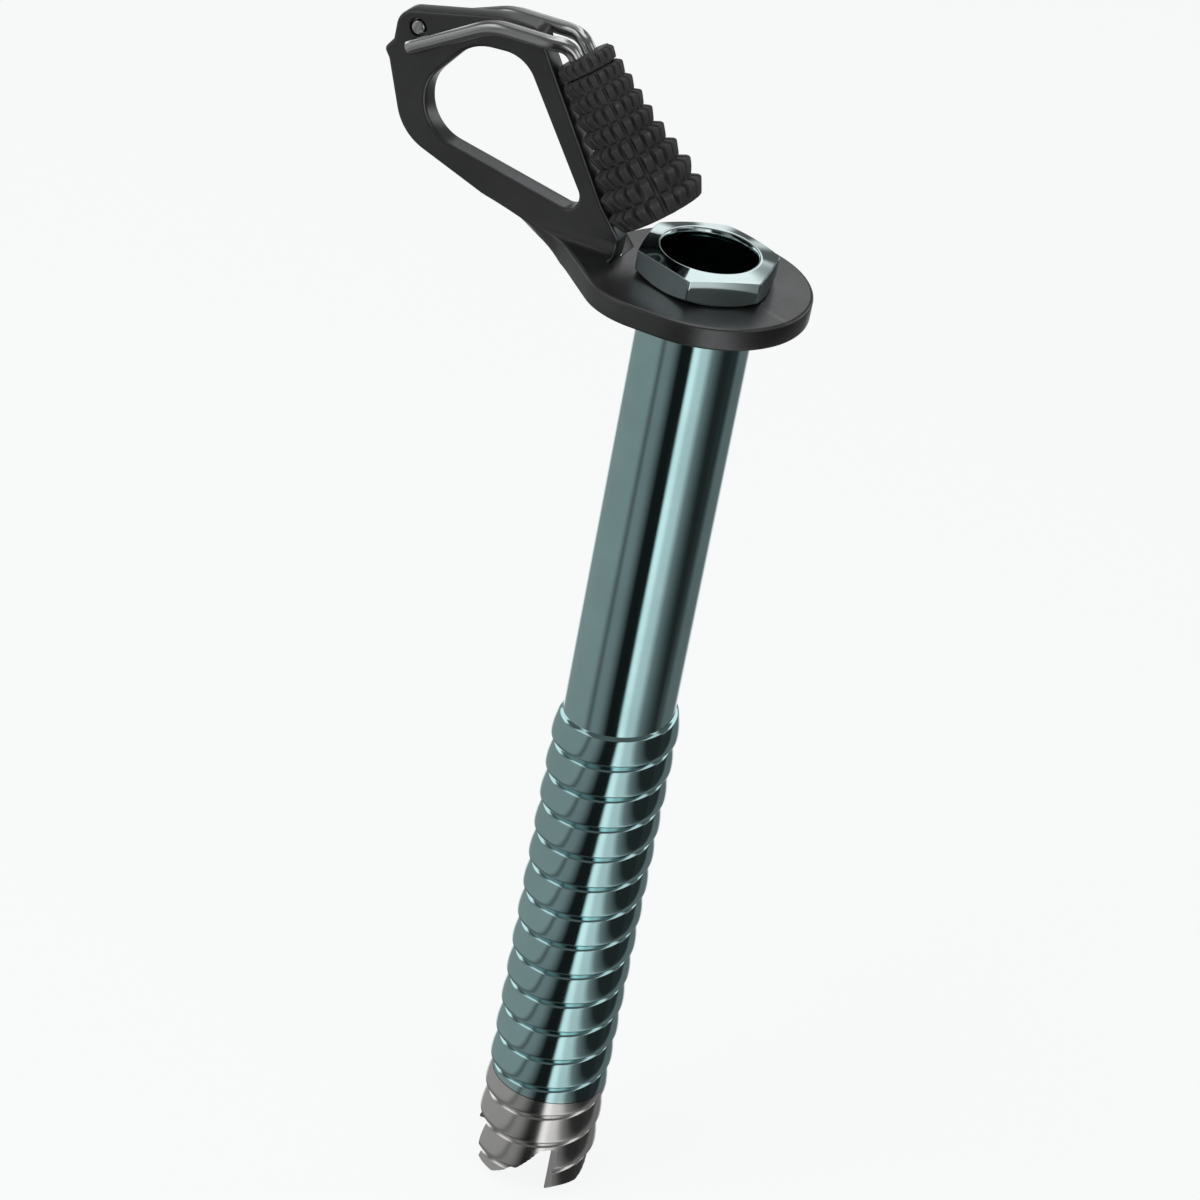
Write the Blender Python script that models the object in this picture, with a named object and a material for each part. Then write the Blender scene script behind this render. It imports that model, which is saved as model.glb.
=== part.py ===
"""Ice climbing screw: threaded tube, cutting crown, hex head, folded hanger and a fold-out crank with a
spinning knob. Metres, +Z up the tube's axis. The origin is on the axis at the hanger's ice-side face.
The hanger's ear stands parallel to the XZ plane, to the -X side, with its front face towards -Y."""
import math

import bmesh
import bpy
from mathutils import Matrix, Vector
from mathutils.geometry import delaunay_2d_cdt

MM = 0.001

# Driving sizes in millimetres. Everything below them is worked out from these.
FIT_GAP = 0.3
ROUND_SIDES = 32

TUBE_OUTER_DIAMETER = 17.0
TUBE_WALL = 1.5
NECK_WALL = 0.9
SCREW_LENGTH = 159.7
THREAD_PITCH = 5.63
THREAD_HEIGHT = 1.2
THREAD_TOP_DEPTH = 67.3
THREAD_START_ANGLE = 150.0
THREAD_STEPS_PER_TURN = 24

CROWN_LENGTH = 19.4
CROWN_LAP_LENGTH = 6.0
CROWN_LAP_WALL = 0.6
TOOTH_COUNT = 4
TIP_LAND = 0.25
TIP_BEVEL_HEIGHT = 2.4
TOOTH_DEPTH = 9.5
FIRST_TOOTH_ANGLE = -45.0

HEAD_ACROSS_CORNERS = 21.6
HEAD_HEIGHT = 4.1
HEAD_LIP = 1.2
HEAD_CORNER_ANGLE = 38.5

PLATE_THICKNESS = 3.5
PLATE_CHAMFER = 0.5
SEAT_RADIUS = 16.0
BEND_INNER_RADIUS = 2.0
BEND_STEPS = 8
BEND_LINE_DEPTH = 5.2
EAR_SIDE = 12.9
RELIEF_WIDTH = 0.4
EAR_TOP = 33.2
EAR_REACH = 52.4
LIMB_TOP_WIDTH = 3.5
LIMB_FOOT_WIDTH = 2.6

WIRE_DIAMETER = 2.2
WIRE_SIDES = 12
PIVOT_INSET = 3.4
PIVOT_DROP = 6.1
FOOT_INSET = 3.0
FOOT_DROP = 8.9

KNOB_LENGTH = 25.0
KNOB_SMALL_RADIUS = 4.3
KNOB_MIDDLE_RADIUS = 5.65
KNOB_LARGE_RADIUS = 7.3
KNOB_WIDEST_SHARE = 0.82
KNOB_TILT = 40.1
KNOB_RINGS = 9
KNOB_RING_GROWTH = 1.045
KNOB_GROOVES = 20
KNOB_STUD_DEPTH = 1.2
KNOB_HEAD_GAP = 0.8
KNOB_OVERHANG = 2.5
KNOB_PLATE_GAP = 0.5
CORE_RADIUS = 3.2
LOOP_HALF_WIDTH = 1.6
LOOP_DEPTH = 9.4
KNOB_SCREW_RADIUS = 1.1
WASHER_RADIUS = 4.6
WASHER_THICKNESS = 0.8

# Worked-out sizes of the tube, head and crown.
tube_radius = TUBE_OUTER_DIAMETER / 2
bore_radius = tube_radius - TUBE_WALL
neck_radius = bore_radius + NECK_WALL
plate_hole_radius = neck_radius + FIT_GAP
head_bottom = PLATE_THICKNESS + FIT_GAP
head_top = head_bottom + HEAD_HEIGHT
head_corner_radius = HEAD_ACROSS_CORNERS / 2
head_flat_radius = head_corner_radius * math.cos(math.pi / 6)
neck_top = head_top - HEAD_LIP - FIT_GAP
crown_top = CROWN_LENGTH - SCREW_LENGTH
lap_radius = bore_radius + CROWN_LAP_WALL

# Worked-out lines of the fold, the knob and the ear.
bend_outer_radius = BEND_INNER_RADIUS + PLATE_THICKNESS
bend_centre_y = -BEND_LINE_DEPTH
bend_centre_z = bend_outer_radius
bend_length = (BEND_INNER_RADIUS + PLATE_THICKNESS / 2) * math.pi / 2
plate_front_y = bend_centre_y + BEND_INNER_RADIUS
plate_middle_y = plate_front_y + PLATE_THICKNESS / 2
wire_radius = WIRE_DIAMETER / 2
pivot_x = PIVOT_INSET - EAR_REACH
pivot_z = EAR_TOP - PIVOT_DROP
foot_x = FOOT_INSET - EAR_REACH
foot_z = EAR_TOP - FOOT_DROP
leg_offset = PLATE_THICKNESS / 2 + FIT_GAP + wire_radius
tilt = math.radians(KNOB_TILT)
knob_down = Vector((math.sin(tilt), -math.cos(tilt)))
knob_right = Vector((math.cos(tilt), math.sin(tilt)))
head_edge = Vector((-head_corner_radius, head_top))
knob_free_end = head_edge - knob_down * KNOB_HEAD_GAP + knob_right * (KNOB_LARGE_RADIUS - KNOB_OVERHANG)
knob_wire_end = knob_free_end - knob_down * KNOB_LENGTH


def ring_edge(ring):
    """Depth of a stud ring's edge down the knob. Each ring is a little longer than the one before."""
    return KNOB_LENGTH * (KNOB_RING_GROWTH ** ring - 1) / (KNOB_RING_GROWTH ** KNOB_RINGS - 1)


def knob_radius(depth):
    share = depth / KNOB_LENGTH
    if share < 0.5:
        return KNOB_SMALL_RADIUS + (KNOB_MIDDLE_RADIUS - KNOB_SMALL_RADIUS) * share / 0.5
    if share < KNOB_WIDEST_SHARE:
        step = (share - 0.5) / (KNOB_WIDEST_SHARE - 0.5)
        return KNOB_MIDDLE_RADIUS + (KNOB_LARGE_RADIUS - KNOB_MIDDLE_RADIUS) * step
    return KNOB_LARGE_RADIUS


def material(name, colour, roughness, metallic):
    made = bpy.data.materials.new(name)
    made.use_nodes = True
    shader = made.node_tree.nodes["Principled BSDF"]
    shader.inputs["Base Color"].default_value = (*colour, 1.0)
    shader.inputs["Roughness"].default_value = roughness
    shader.inputs["Metallic"].default_value = metallic
    made.diffuse_color = (*colour, 1.0)
    return made


def add_object(name, mesh_data, made_material=None, parent=None):
    """Turn a bmesh in millimetres into an object in metres, faces outward."""
    bmesh.ops.recalc_face_normals(mesh_data, faces=mesh_data.faces)
    bmesh.ops.scale(mesh_data, vec=(MM, MM, MM), verts=mesh_data.verts)
    mesh = bpy.data.meshes.new(name)
    mesh_data.to_mesh(mesh)
    mesh_data.free()
    obj = bpy.data.objects.new(name, mesh)
    bpy.context.scene.collection.objects.link(obj)
    if made_material:
        mesh.materials.append(made_material)
        for polygon in mesh.polygons:
            polygon.use_smooth = True
        mesh.set_sharp_from_angle(angle=math.radians(40))
    if parent:
        obj.parent = parent
        obj.matrix_parent_inverse = parent.matrix_world.inverted()
    return obj


def cut(target, cutter, operation="DIFFERENCE"):
    modifier = target.modifiers.new(cutter.name, "BOOLEAN")
    modifier.operation = operation
    modifier.solver = "EXACT"
    modifier.object = cutter
    cutter.hide_render = True
    cutter.display_type = "WIRE"


def pivot(name, location, z_axis=Vector((0, 0, 1))):
    empty = bpy.data.objects.new(name, None)
    empty.empty_display_size = 5 * MM
    turn = z_axis.to_track_quat("Z", "Y").to_matrix().to_4x4()
    empty.matrix_world = Matrix.Translation(location * MM) @ turn
    bpy.context.scene.collection.objects.link(empty)
    bpy.context.view_layer.update()
    return empty


def bridge_rings(mesh_data, rings, cap=True):
    """Join rings of equal length into a closed skin, with a flat face over each end if cap is set."""
    rows = [[mesh_data.verts.new(point) for point in ring] for ring in rings]
    count = len(rows[0])
    pairs = list(zip(rows, rows[1:]))
    if not cap:
        pairs.append((rows[-1], rows[0]))
    for lower, upper in pairs:
        for i in range(count):
            j = (i + 1) % count
            mesh_data.faces.new((lower[i], lower[j], upper[j], upper[i]))
    if cap:
        mesh_data.faces.new(list(reversed(rows[0])))
        mesh_data.faces.new(rows[-1])


def circle_ring(radius, z, sides=ROUND_SIDES):
    angles = [2 * math.pi * i / sides for i in range(sides)]
    return [Vector((radius * math.cos(a), radius * math.sin(a), z)) for a in angles]


def lathe(profile, sides=ROUND_SIDES):
    """Ring-shaped body from a closed list of (radius, z) corners."""
    mesh_data = bmesh.new()
    bridge_rings(mesh_data, [circle_ring(radius, z, sides) for radius, z in profile], cap=False)
    return mesh_data


def rod(profile, sides=ROUND_SIDES):
    """Solid round body from an open list of (radius, z) corners, flat at both ends."""
    mesh_data = bmesh.new()
    bridge_rings(mesh_data, [circle_ring(radius, z, sides) for radius, z in profile])
    return mesh_data


def prism(corners, z_low, z_high):
    mesh_data = bmesh.new()
    bridge_rings(mesh_data, [[Vector((x, y, z)) for x, y in corners] for z in (z_low, z_high)])
    return mesh_data


def hexagon(corner_radius, first_angle=0.0):
    angles = [math.radians(first_angle + 60 * i) for i in range(6)]
    return [(corner_radius * math.cos(a), corner_radius * math.sin(a)) for a in angles]


def rounded_outline(corners, step_degrees=15.0):
    """Points round a closed outline. Each corner is (x, y, fillet radius)."""
    outline = []
    for i, (x, y, radius) in enumerate(corners):
        here = Vector((x, y))
        before = (Vector(corners[i - 1][:2]) - here).normalized()
        after = (Vector(corners[(i + 1) % len(corners)][:2]) - here).normalized()
        if radius == 0:
            outline.append(here)
            continue
        half = before.angle(after) / 2
        centre = here + (before + after).normalized() * radius / math.sin(half)
        start = here + before * radius / math.tan(half) - centre
        sweep = math.pi - 2 * half
        if before.x * after.y - before.y * after.x > 0:
            sweep = -sweep
        steps = max(1, math.ceil(abs(math.degrees(sweep)) / step_degrees))
        for k in range(steps + 1):
            turn = Matrix.Rotation(sweep * k / steps, 2)
            outline.append(centre + turn @ start)
    return outline


def arc(centre, radius, first_degrees, last_degrees, steps):
    points = []
    for k in range(steps + 1):
        angle = math.radians(first_degrees + (last_degrees - first_degrees) * k / steps)
        points.append(Vector((centre[0] + radius * math.cos(angle), centre[1] + radius * math.sin(angle))))
    return points


def inset(outline, distance):
    """Move a closed outline to its left by a distance, mitred at the corners."""
    moved = []
    for i, here in enumerate(outline):
        before = (here - outline[i - 1]).normalized()
        after = (outline[(i + 1) % len(outline)] - here).normalized()
        left = Vector((-before.y - after.y, before.x + after.x)).normalized()
        lean = max(0.4, left.dot(Vector((-before.y, before.x))))
        moved.append(here + left * distance / lean)
    return moved


def crossings(here, after, levels):
    """Shares along one edge of the blank where it crosses the bend's levels on the ear's side, in order."""
    if not (on_ear_side(*here) and on_ear_side(*after)):
        return []
    crossed = [lev for lev in levels if (here.y - lev) * (after.y - lev) < -1e-12]
    return sorted((lev - here.y) / (after.y - here.y) for lev in crossed)


def split_at_levels(outline, rim, levels):
    """Give the outline, and the rim inset from it, a point wherever the outline crosses a level."""
    full_outline = []
    full_rim = []
    for i, here in enumerate(outline):
        j = (i + 1) % len(outline)
        for share in [0.0] + crossings(here, outline[j], levels):
            full_outline.append(here.lerp(outline[j], share))
            full_rim.append(rim[i].lerp(rim[j], share))
    return full_outline, full_rim


def inside(point, outline):
    found = False
    for i, a in enumerate(outline):
        b = outline[i - 1]
        if (a.y > point.y) != (b.y > point.y):
            if point.x < (b.x - a.x) * (point.y - a.y) / (b.y - a.y) + a.x:
                found = not found
    return found


def wire_path(points_2d, radii, step_degrees=12.0):
    """Points along an open bent line, with a fillet at each inner corner."""
    path = [Vector(points_2d[0])]
    for i in range(1, len(points_2d) - 1):
        trio = [(*points_2d[i - 1], 0), (*points_2d[i], radii[i - 1]), (*points_2d[i + 1], 0)]
        path.extend(rounded_outline(trio, step_degrees)[1:-1])
    path.append(Vector(points_2d[-1]))
    return path


def sweep_wire(points, radius, sides=WIRE_SIDES):
    """Round wire along a list of points, with a flat face at each end."""
    mesh_data = bmesh.new()
    rings = []
    side = None
    for i, here in enumerate(points):
        before = (here - points[i - 1]).normalized() if i else None
        after = (points[i + 1] - here).normalized() if i + 1 < len(points) else None
        along = ((before or after) + (after or before)).normalized()
        if side is None:
            side = along.orthogonal().normalized()
        side = (side - along * side.dot(along)).normalized()
        up = along.cross(side)
        stretch = 1.0 / max(0.5, along.dot(after or before))
        bend = ((after or before) - (before or after))
        outward = bend.normalized() if bend.length > 1e-6 else Vector((0, 0, 0))
        ring = []
        for k in range(sides):
            angle = 2 * math.pi * (k + 0.5) / sides
            spoke = (side * math.cos(angle) + up * math.sin(angle)) * radius
            spoke += outward * spoke.dot(outward) * (stretch - 1.0)
            ring.append(here + spoke)
        rings.append(ring)
    bridge_rings(mesh_data, rings)
    return mesh_data


def from_knob_axis(mesh_data):
    """Turn a body built along +Z from zero so that it runs down the knob from its wire end."""
    axis = Vector((knob_down.x, 0, knob_down.y))
    turn = axis.to_track_quat("Z", "Y").to_matrix().to_4x4()
    place = Matrix.Translation((knob_wire_end.x, plate_middle_y, knob_wire_end.y))
    bmesh.ops.transform(mesh_data, matrix=place @ turn, verts=mesh_data.verts)
    return mesh_data


def thread_height(turn_now, turns_total):
    """Share of the full thread height: it runs in and out over a third of a turn."""
    return max(0.0, min(1.0, turn_now / 0.33, (turns_total - turn_now) / 0.33))


def threaded_rod(top_profile, turns_total, z_first, z_bottom):
    """Solid rod with a right-hand helical ridge. Rows follow the helix downwards from z_first."""
    mesh_data = bmesh.new()
    per_turn = THREAD_STEPS_PER_TURN
    columns = round(turns_total * per_turn)
    ridge = ((0.0, 0.0), (0.09, 0.45), (0.42, 0.85), (0.80, 1.0), (0.93, 0.2))

    def direction(i):
        angle = math.radians(THREAD_START_ANGLE) - 2 * math.pi * i / per_turn
        return Vector((math.cos(angle), math.sin(angle), 0))

    def ridge_vertex(i, k):
        share, height = ridge[k]
        radius = tube_radius + THREAD_HEIGHT * height * thread_height(i / per_turn, columns / per_turn)
        z = z_first - THREAD_PITCH * (i / per_turn + share)
        return mesh_data.verts.new(direction(i) * radius + Vector((0, 0, z)))

    grid = [[ridge_vertex(i, k) for k in range(len(ridge))] for i in range(columns + 1)]
    grid += [[ridge_vertex(i, 0)] for i in range(columns + 1, columns + per_turn + 1)]
    for i in range(columns):
        left = grid[i] + [grid[i + per_turn][0]]
        right = grid[i + 1] + [grid[i + 1 + per_turn][0]]
        for k in range(len(ridge)):
            mesh_data.faces.new((left[k], left[k + 1], right[k + 1], right[k]))
    rings = [[mesh_data.verts.new(direction(i) * radius + Vector((0, 0, z))) for i in range(per_turn)]
             for radius, z in top_profile]
    for upper, lower in zip(rings, rings[1:]):
        for i in range(per_turn):
            j = (i + 1) % per_turn
            mesh_data.faces.new((upper[i], lower[i], lower[j], upper[j]))
    mesh_data.faces.new(rings[0])
    last_ring = rings[-1]
    for i in range(per_turn - 1):
        mesh_data.faces.new((last_ring[i], grid[i][0], grid[i + 1][0], last_ring[i + 1]))
    seam = [last_ring[-1], grid[per_turn - 1][0], grid[per_turn][0]] + list(reversed(grid[0]))
    mesh_data.faces.new(seam + [last_ring[0]])
    base = [mesh_data.verts.new(direction(columns + i) * tube_radius + Vector((0, 0, z_bottom)))
            for i in range(per_turn)]
    seam = grid[columns] + [grid[columns + per_turn][0], base[0], base[1], grid[columns + 1][0]]
    mesh_data.faces.new(seam)
    for i in range(1, per_turn):
        j = (i + 1) % per_turn
        mesh_data.faces.new((grid[columns + i][0], base[i], base[j], grid[columns + i + 1][0]))
    mesh_data.faces.new(base)
    return mesh_data


def tooth_gap_cutter():
    """Ring below the crown's edge: each tooth has a steep leading face and falls away behind it."""
    shape = ((0.0, 0.0), (9.0, 0.02), (22.0, 0.18), (36.0, 0.33), (52.0, 0.55), (62.0, 0.76),
             (72.0, 0.97), (80.0, 1.0))
    tip_z = -SCREW_LENGTH
    low_z = tip_z - THREAD_PITCH - 2
    inner = bore_radius - 2
    outer = tube_radius + THREAD_HEIGHT + 2
    stretch = 360 / TOOTH_COUNT / 90
    columns = []
    for tooth in range(TOOTH_COUNT):
        for degrees, rise in shape:
            angle = math.radians(FIRST_TOOTH_ANGLE + 360 * tooth / TOOTH_COUNT + degrees * stretch)
            columns.append((angle, tip_z + rise * TOOTH_DEPTH, degrees == 0))
    mesh_data = bmesh.new()

    def vertex(radius, angle, z):
        return mesh_data.verts.new((radius * math.cos(angle), radius * math.sin(angle), z))

    made = []
    for angle, z, at_tip in columns:
        entry = {"low": (vertex(inner, angle, low_z), vertex(outer, angle, low_z))}
        entry["edge"] = (vertex(inner, angle, z), vertex(outer, angle, z))
        entry["step"] = entry["edge"]
        if at_tip:
            top = tip_z + TOOTH_DEPTH
            entry["step"] = (vertex(inner, angle, top), vertex(outer, angle, top))
            mesh_data.faces.new((*entry["edge"], entry["step"][1], entry["step"][0]))
        made.append(entry)
    for i, now in enumerate(made):
        then = made[(i + 1) % len(made)]
        mesh_data.faces.new((now["low"][0], then["low"][0], then["low"][1], now["low"][1]))
        mesh_data.faces.new((now["edge"][0], now["edge"][1], then["step"][1], then["step"][0]))
        for side in (0, 1):
            wall = [now["low"][side], now["edge"][side], then["step"][side]]
            if then["step"] is not then["edge"]:
                wall.append(then["edge"][side])
            mesh_data.faces.new(wall + [then["low"][side]])
    return mesh_data


def tube_and_crown(plated, bare):
    """The threaded rod is made once and cut at the joint, so that the ridge runs on across it."""
    turns = (SCREW_LENGTH - THREAD_TOP_DEPTH) / THREAD_PITCH - 0.2
    top_profile = ((neck_radius, neck_top), (neck_radius, -FIT_GAP), (tube_radius, -FIT_GAP),
                   (tube_radius, -THREAD_TOP_DEPTH / 2), (tube_radius, 2 - THREAD_TOP_DEPTH))
    far = -SCREW_LENGTH - THREAD_PITCH - 10
    wide = tube_radius + THREAD_HEIGHT + 4
    below_tip = -SCREW_LENGTH - THREAD_PITCH
    tube = add_object("screw_tube", threaded_rod(top_profile, turns, -THREAD_TOP_DEPTH, below_tip), plated)
    crown = add_object("cutting_crown", threaded_rod(top_profile, turns, -THREAD_TOP_DEPTH, below_tip), bare)
    lap_top = crown_top + CROWN_LAP_LENGTH
    joint_cut = rod(((bore_radius, neck_top + 5), (bore_radius, lap_top), (lap_radius + FIT_GAP, lap_top),
                     (lap_radius + FIT_GAP, crown_top), (wide, crown_top), (wide, far)), THREAD_STEPS_PER_TURN)
    cut(tube, add_object("tube_bore_cutter", joint_cut))
    low = crown_top - FIT_GAP
    lap_low = lap_top - FIT_GAP
    crown_cut = lathe(((0.5, far), (bore_radius, far), (bore_radius, lap_low), (lap_radius, lap_low),
                       (lap_radius, low), (wide, low), (wide, neck_top + 5), (0.5, neck_top + 5)),
                      THREAD_STEPS_PER_TURN)
    cut(crown, add_object("crown_bore_cutter", crown_cut))
    core_cut = rod(((1.0, neck_top + 6), (1.0, far - 1)), 8)
    cut(crown, add_object("crown_core_cutter", core_cut))
    cut(crown, add_object("tooth_gap_cutter", tooth_gap_cutter()))
    tip_radius = bore_radius + TIP_LAND
    slope = TIP_BEVEL_HEIGHT / (tube_radius + THREAD_HEIGHT - tip_radius)
    inner = bore_radius - 1
    bevel_cut = lathe(((inner, -SCREW_LENGTH - slope * (tip_radius - inner)),
                       (wide, -SCREW_LENGTH + slope * (wide - tip_radius)), (wide, far), (inner, far)),
                      THREAD_STEPS_PER_TURN)
    cut(crown, add_object("tip_bevel_cutter", bevel_cut))


def hex_head(made_material):
    """Hexagon ring with both rims chamfered. Its lip hides the top of the tube's neck."""
    rim = head_flat_radius + 0.25
    slope = (head_corner_radius + 0.1 - rim) * math.tan(math.radians(30))
    pocket = neck_radius + FIT_GAP
    lip_bottom = head_top - HEAD_LIP
    mouth = bore_radius + 0.2
    profile = ((rim, head_bottom), (head_corner_radius + 0.1, head_bottom + slope),
               (head_corner_radius + 0.1, head_top - slope), (rim, head_top), (mouth, head_top),
               (bore_radius, head_top - HEAD_LIP * 0.7), (bore_radius, lip_bottom), (pocket, lip_bottom),
               (pocket, head_bottom))
    head = add_object("hex_head", lathe(profile, 48), made_material)
    shape = prism(hexagon(head_corner_radius, HEAD_CORNER_ANGLE), head_bottom - 2, head_top + 2)
    cut(head, add_object("head_hexagon_cutter", shape), "INTERSECT")


def on_knob_side(depth, offset):
    """Point beside the knob on its ear side: depth down from its wire end, offset clear of its skin."""
    return knob_wire_end + knob_down * depth - knob_right * (knob_radius(depth) + offset)


def limb_at_z(z, offset):
    """Point on the straight line that touches the knob's narrow end and its widest ring."""
    a = on_knob_side(0, offset)
    b = on_knob_side(KNOB_WIDEST_SHARE * KNOB_LENGTH, offset)
    return a.lerp(b, (z - a.y) / (b.y - a.y))


def slot_x(v):
    """Middle of the slot that parts the ear's foot from the seat, at a level of the flat blank."""
    slant = max(0.0, v - slot_bend_level())
    return -EAR_SIDE + RELIEF_WIDTH / 2 + slant * knob_down.x / knob_down.y


def slot_bend_level():
    widest = on_knob_side(KNOB_WIDEST_SHARE * KNOB_LENGTH, KNOB_PLATE_GAP)
    return ear_level(widest.y + (-EAR_SIDE - widest.x) * knob_down.y / knob_down.x)


def on_ear_side(x, v):
    beyond_seat = math.hypot(x, v - BEND_LINE_DEPTH) > SEAT_RADIUS + 0.1
    return x < slot_x(v) or (beyond_seat and x < 0)


def fold(x, v, w):
    """Place a point of the flat blank: v runs from the seat over the bend and up the ear."""
    if v <= 0 or not on_ear_side(x, v):
        return Vector((x, bend_centre_y + v, w))
    turn = min(v / bend_length, 1.0) * math.pi / 2
    radius = bend_outer_radius - w
    up = max(0.0, v - bend_length)
    return Vector((x, bend_centre_y + radius * math.sin(turn), bend_centre_z - radius * math.cos(turn) + up))


def ear_level(z):
    """Blank coordinate of a height on the ear."""
    return bend_length + z - bend_centre_z


def hanger_outlines():
    seat_centre = (0.0, BEND_LINE_DEPTH)
    relief_x = -EAR_SIDE + RELIEF_WIDTH
    limb_knee = on_knob_side(KNOB_WIDEST_SHARE * KNOB_LENGTH, KNOB_PLATE_GAP)
    limb_top = limb_at_z(EAR_TOP - 2.5, KNOB_PLATE_GAP)
    seat_low = BEND_LINE_DEPTH - SEAT_RADIUS
    flank_x = -0.585 * SEAT_RADIUS
    flank_foot = flank_x + seat_low
    under_left = ear_level(EAR_TOP - 22.9)
    rise = 0.344
    left_foot = -EAR_REACH + 3.2
    under_x = (under_left + rise * left_foot - flank_foot) / (rise - 1)
    top_width = limb_top.x - 1.0 + EAR_REACH
    corners = [
        (flank_x, seat_low, 12.0),
        (under_x, flank_foot - under_x, 15.0),
        (left_foot, under_left, 8.0),
        (-EAR_REACH - 0.5, ear_level(EAR_TOP - 12.2), 0.0),
        (-EAR_REACH - 1.5, ear_level(EAR_TOP - 10.8), 0.8),
        (-EAR_REACH - 0.2, ear_level(EAR_TOP - 9.0), 0.0),
        (-EAR_REACH, ear_level(EAR_TOP - 4.3), 3.0),
        (-EAR_REACH + 0.75 * top_width, ear_level(EAR_TOP), 0.9 * top_width),
        (limb_top.x - 1.0, ear_level(EAR_TOP), 2.0),
        (limb_top.x, ear_level(limb_top.y), 2.0),
        (limb_knee.x, ear_level(limb_knee.y), 6.0),
        (-EAR_SIDE, slot_bend_level(), 0.0),
        (-EAR_SIDE, -RELIEF_WIDTH, 0.0),
        (relief_x, -RELIEF_WIDTH, 0.0),
        (relief_x, slot_bend_level(), 0.0),
    ]
    start = Vector((relief_x, slot_bend_level() - BEND_LINE_DEPTH))
    along = Vector((-knob_down.x, -knob_down.y))
    reach = -start.dot(along) + math.sqrt(start.dot(along) ** 2 + SEAT_RADIUS ** 2 - start.length_squared)
    meeting = start + along * reach
    across = math.degrees(math.atan2(meeting.y, meeting.x))
    disc = arc(seat_centre, SEAT_RADIUS, across, -90, 36)
    outline = rounded_outline([(*disc[-1], 0.0)] + corners)[1:]
    outline = list(reversed(outline + disc))
    hole = arc(seat_centre, plate_hole_radius, 0, 360, ROUND_SIDES)[:-1]
    low_right = limb_at_z(EAR_TOP - 26.2, KNOB_PLATE_GAP + LIMB_FOOT_WIDTH)
    high_right = limb_at_z(EAR_TOP - 4.9, KNOB_PLATE_GAP + LIMB_TOP_WIDTH)
    eye_left = -EAR_REACH + 5.9
    eye_width = high_right.x - eye_left
    eye_corners = [
        (eye_left + 0.9, ear_level(EAR_TOP - 21.1), min(6.5, 0.45 * eye_width)),
        (low_right.x, ear_level(low_right.y), 2.1),
        (high_right.x, ear_level(high_right.y), min(5.5, 0.38 * eye_width)),
        (eye_left + 0.43 * eye_width, ear_level(EAR_TOP - 5.6), min(7.0, 0.48 * eye_width)),
        (eye_left, ear_level(EAR_TOP - 13.6), min(6.0, 0.41 * eye_width)),
    ]
    eye = rounded_outline(eye_corners)
    wire_hole = arc((pivot_x, ear_level(pivot_z)), wire_radius + FIT_GAP, 0, 360, 16)[:-1]
    return outline, [hole, eye, wire_hole]


def signed_area(outline):
    return sum(a.x * b.y - b.x * a.y for a, b in zip(outline[-1:] + outline[:-1], outline)) / 2


def hanger(made_material):
    """Flat blank with chamfered rims, folded up along the bend."""
    levels = [bend_length * k / BEND_STEPS for k in range(BEND_STEPS + 1)]
    outer, holes = hanger_outlines()
    chamfers = [PLATE_CHAMFER, min(PLATE_CHAMFER, NECK_WALL / 3), PLATE_CHAMFER, 0.2]
    loops = []
    rims = []
    for loop, width in zip([outer] + holes, chamfers):
        turn = 1 if loop is outer else -1
        if signed_area(loop) * turn < 0:
            loop = list(reversed(loop))
        full_loop, full_rim = split_at_levels(loop, inset(loop, width), levels)
        loops.append(full_loop)
        rims.append(full_rim)
    flat_points = [point for rim in rims for point in rim]
    edges = []
    crossing = {k: [] for k in range(len(levels))}
    first = 0
    for loop in loops:
        for i, point in enumerate(loop):
            edges.append((first + i, first + (i + 1) % len(loop)))
            for k, lev in enumerate(levels):
                if abs(point.y - lev) < 1e-6 and on_ear_side(*point):
                    crossing[k].append((point.x, first + i))
        first += len(loop)
    for found in crossing.values():
        found.sort()
        edges.extend((a[1], b[1]) for a, b in zip(found[::2], found[1::2]))
    flat, _, triangles, _, _, _ = delaunay_2d_cdt(flat_points, edges, [], 0, 1e-7)
    mesh_data = bmesh.new()
    low = []
    high = []
    for point in flat:
        low.append(mesh_data.verts.new(fold(point.x, point.y, 0.0)))
        high.append(mesh_data.verts.new(fold(point.x, point.y, PLATE_THICKNESS)))
    for triangle in triangles:
        middle = sum((flat[i] for i in triangle), Vector((0.0, 0.0))) / 3
        if inside(middle, rims[0]) and not any(inside(middle, rim) for rim in rims[1:]):
            mesh_data.faces.new([low[i] for i in reversed(triangle)])
            mesh_data.faces.new([high[i] for i in triangle])
    first = 0
    for loop, width in zip(loops, chamfers):
        rows = [low[first:first + len(loop)]]
        for w in (width, PLATE_THICKNESS - width):
            rows.append([mesh_data.verts.new(fold(point.x, point.y, w)) for point in loop])
        rows.append(high[first:first + len(loop)])
        for lower, upper in zip(rows, rows[1:]):
            for i in range(len(loop)):
                j = (i + 1) % len(loop)
                mesh_data.faces.new((lower[i], lower[j], upper[j], upper[i]))
        first += len(loop)
    add_object("hanger", mesh_data, made_material)


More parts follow.
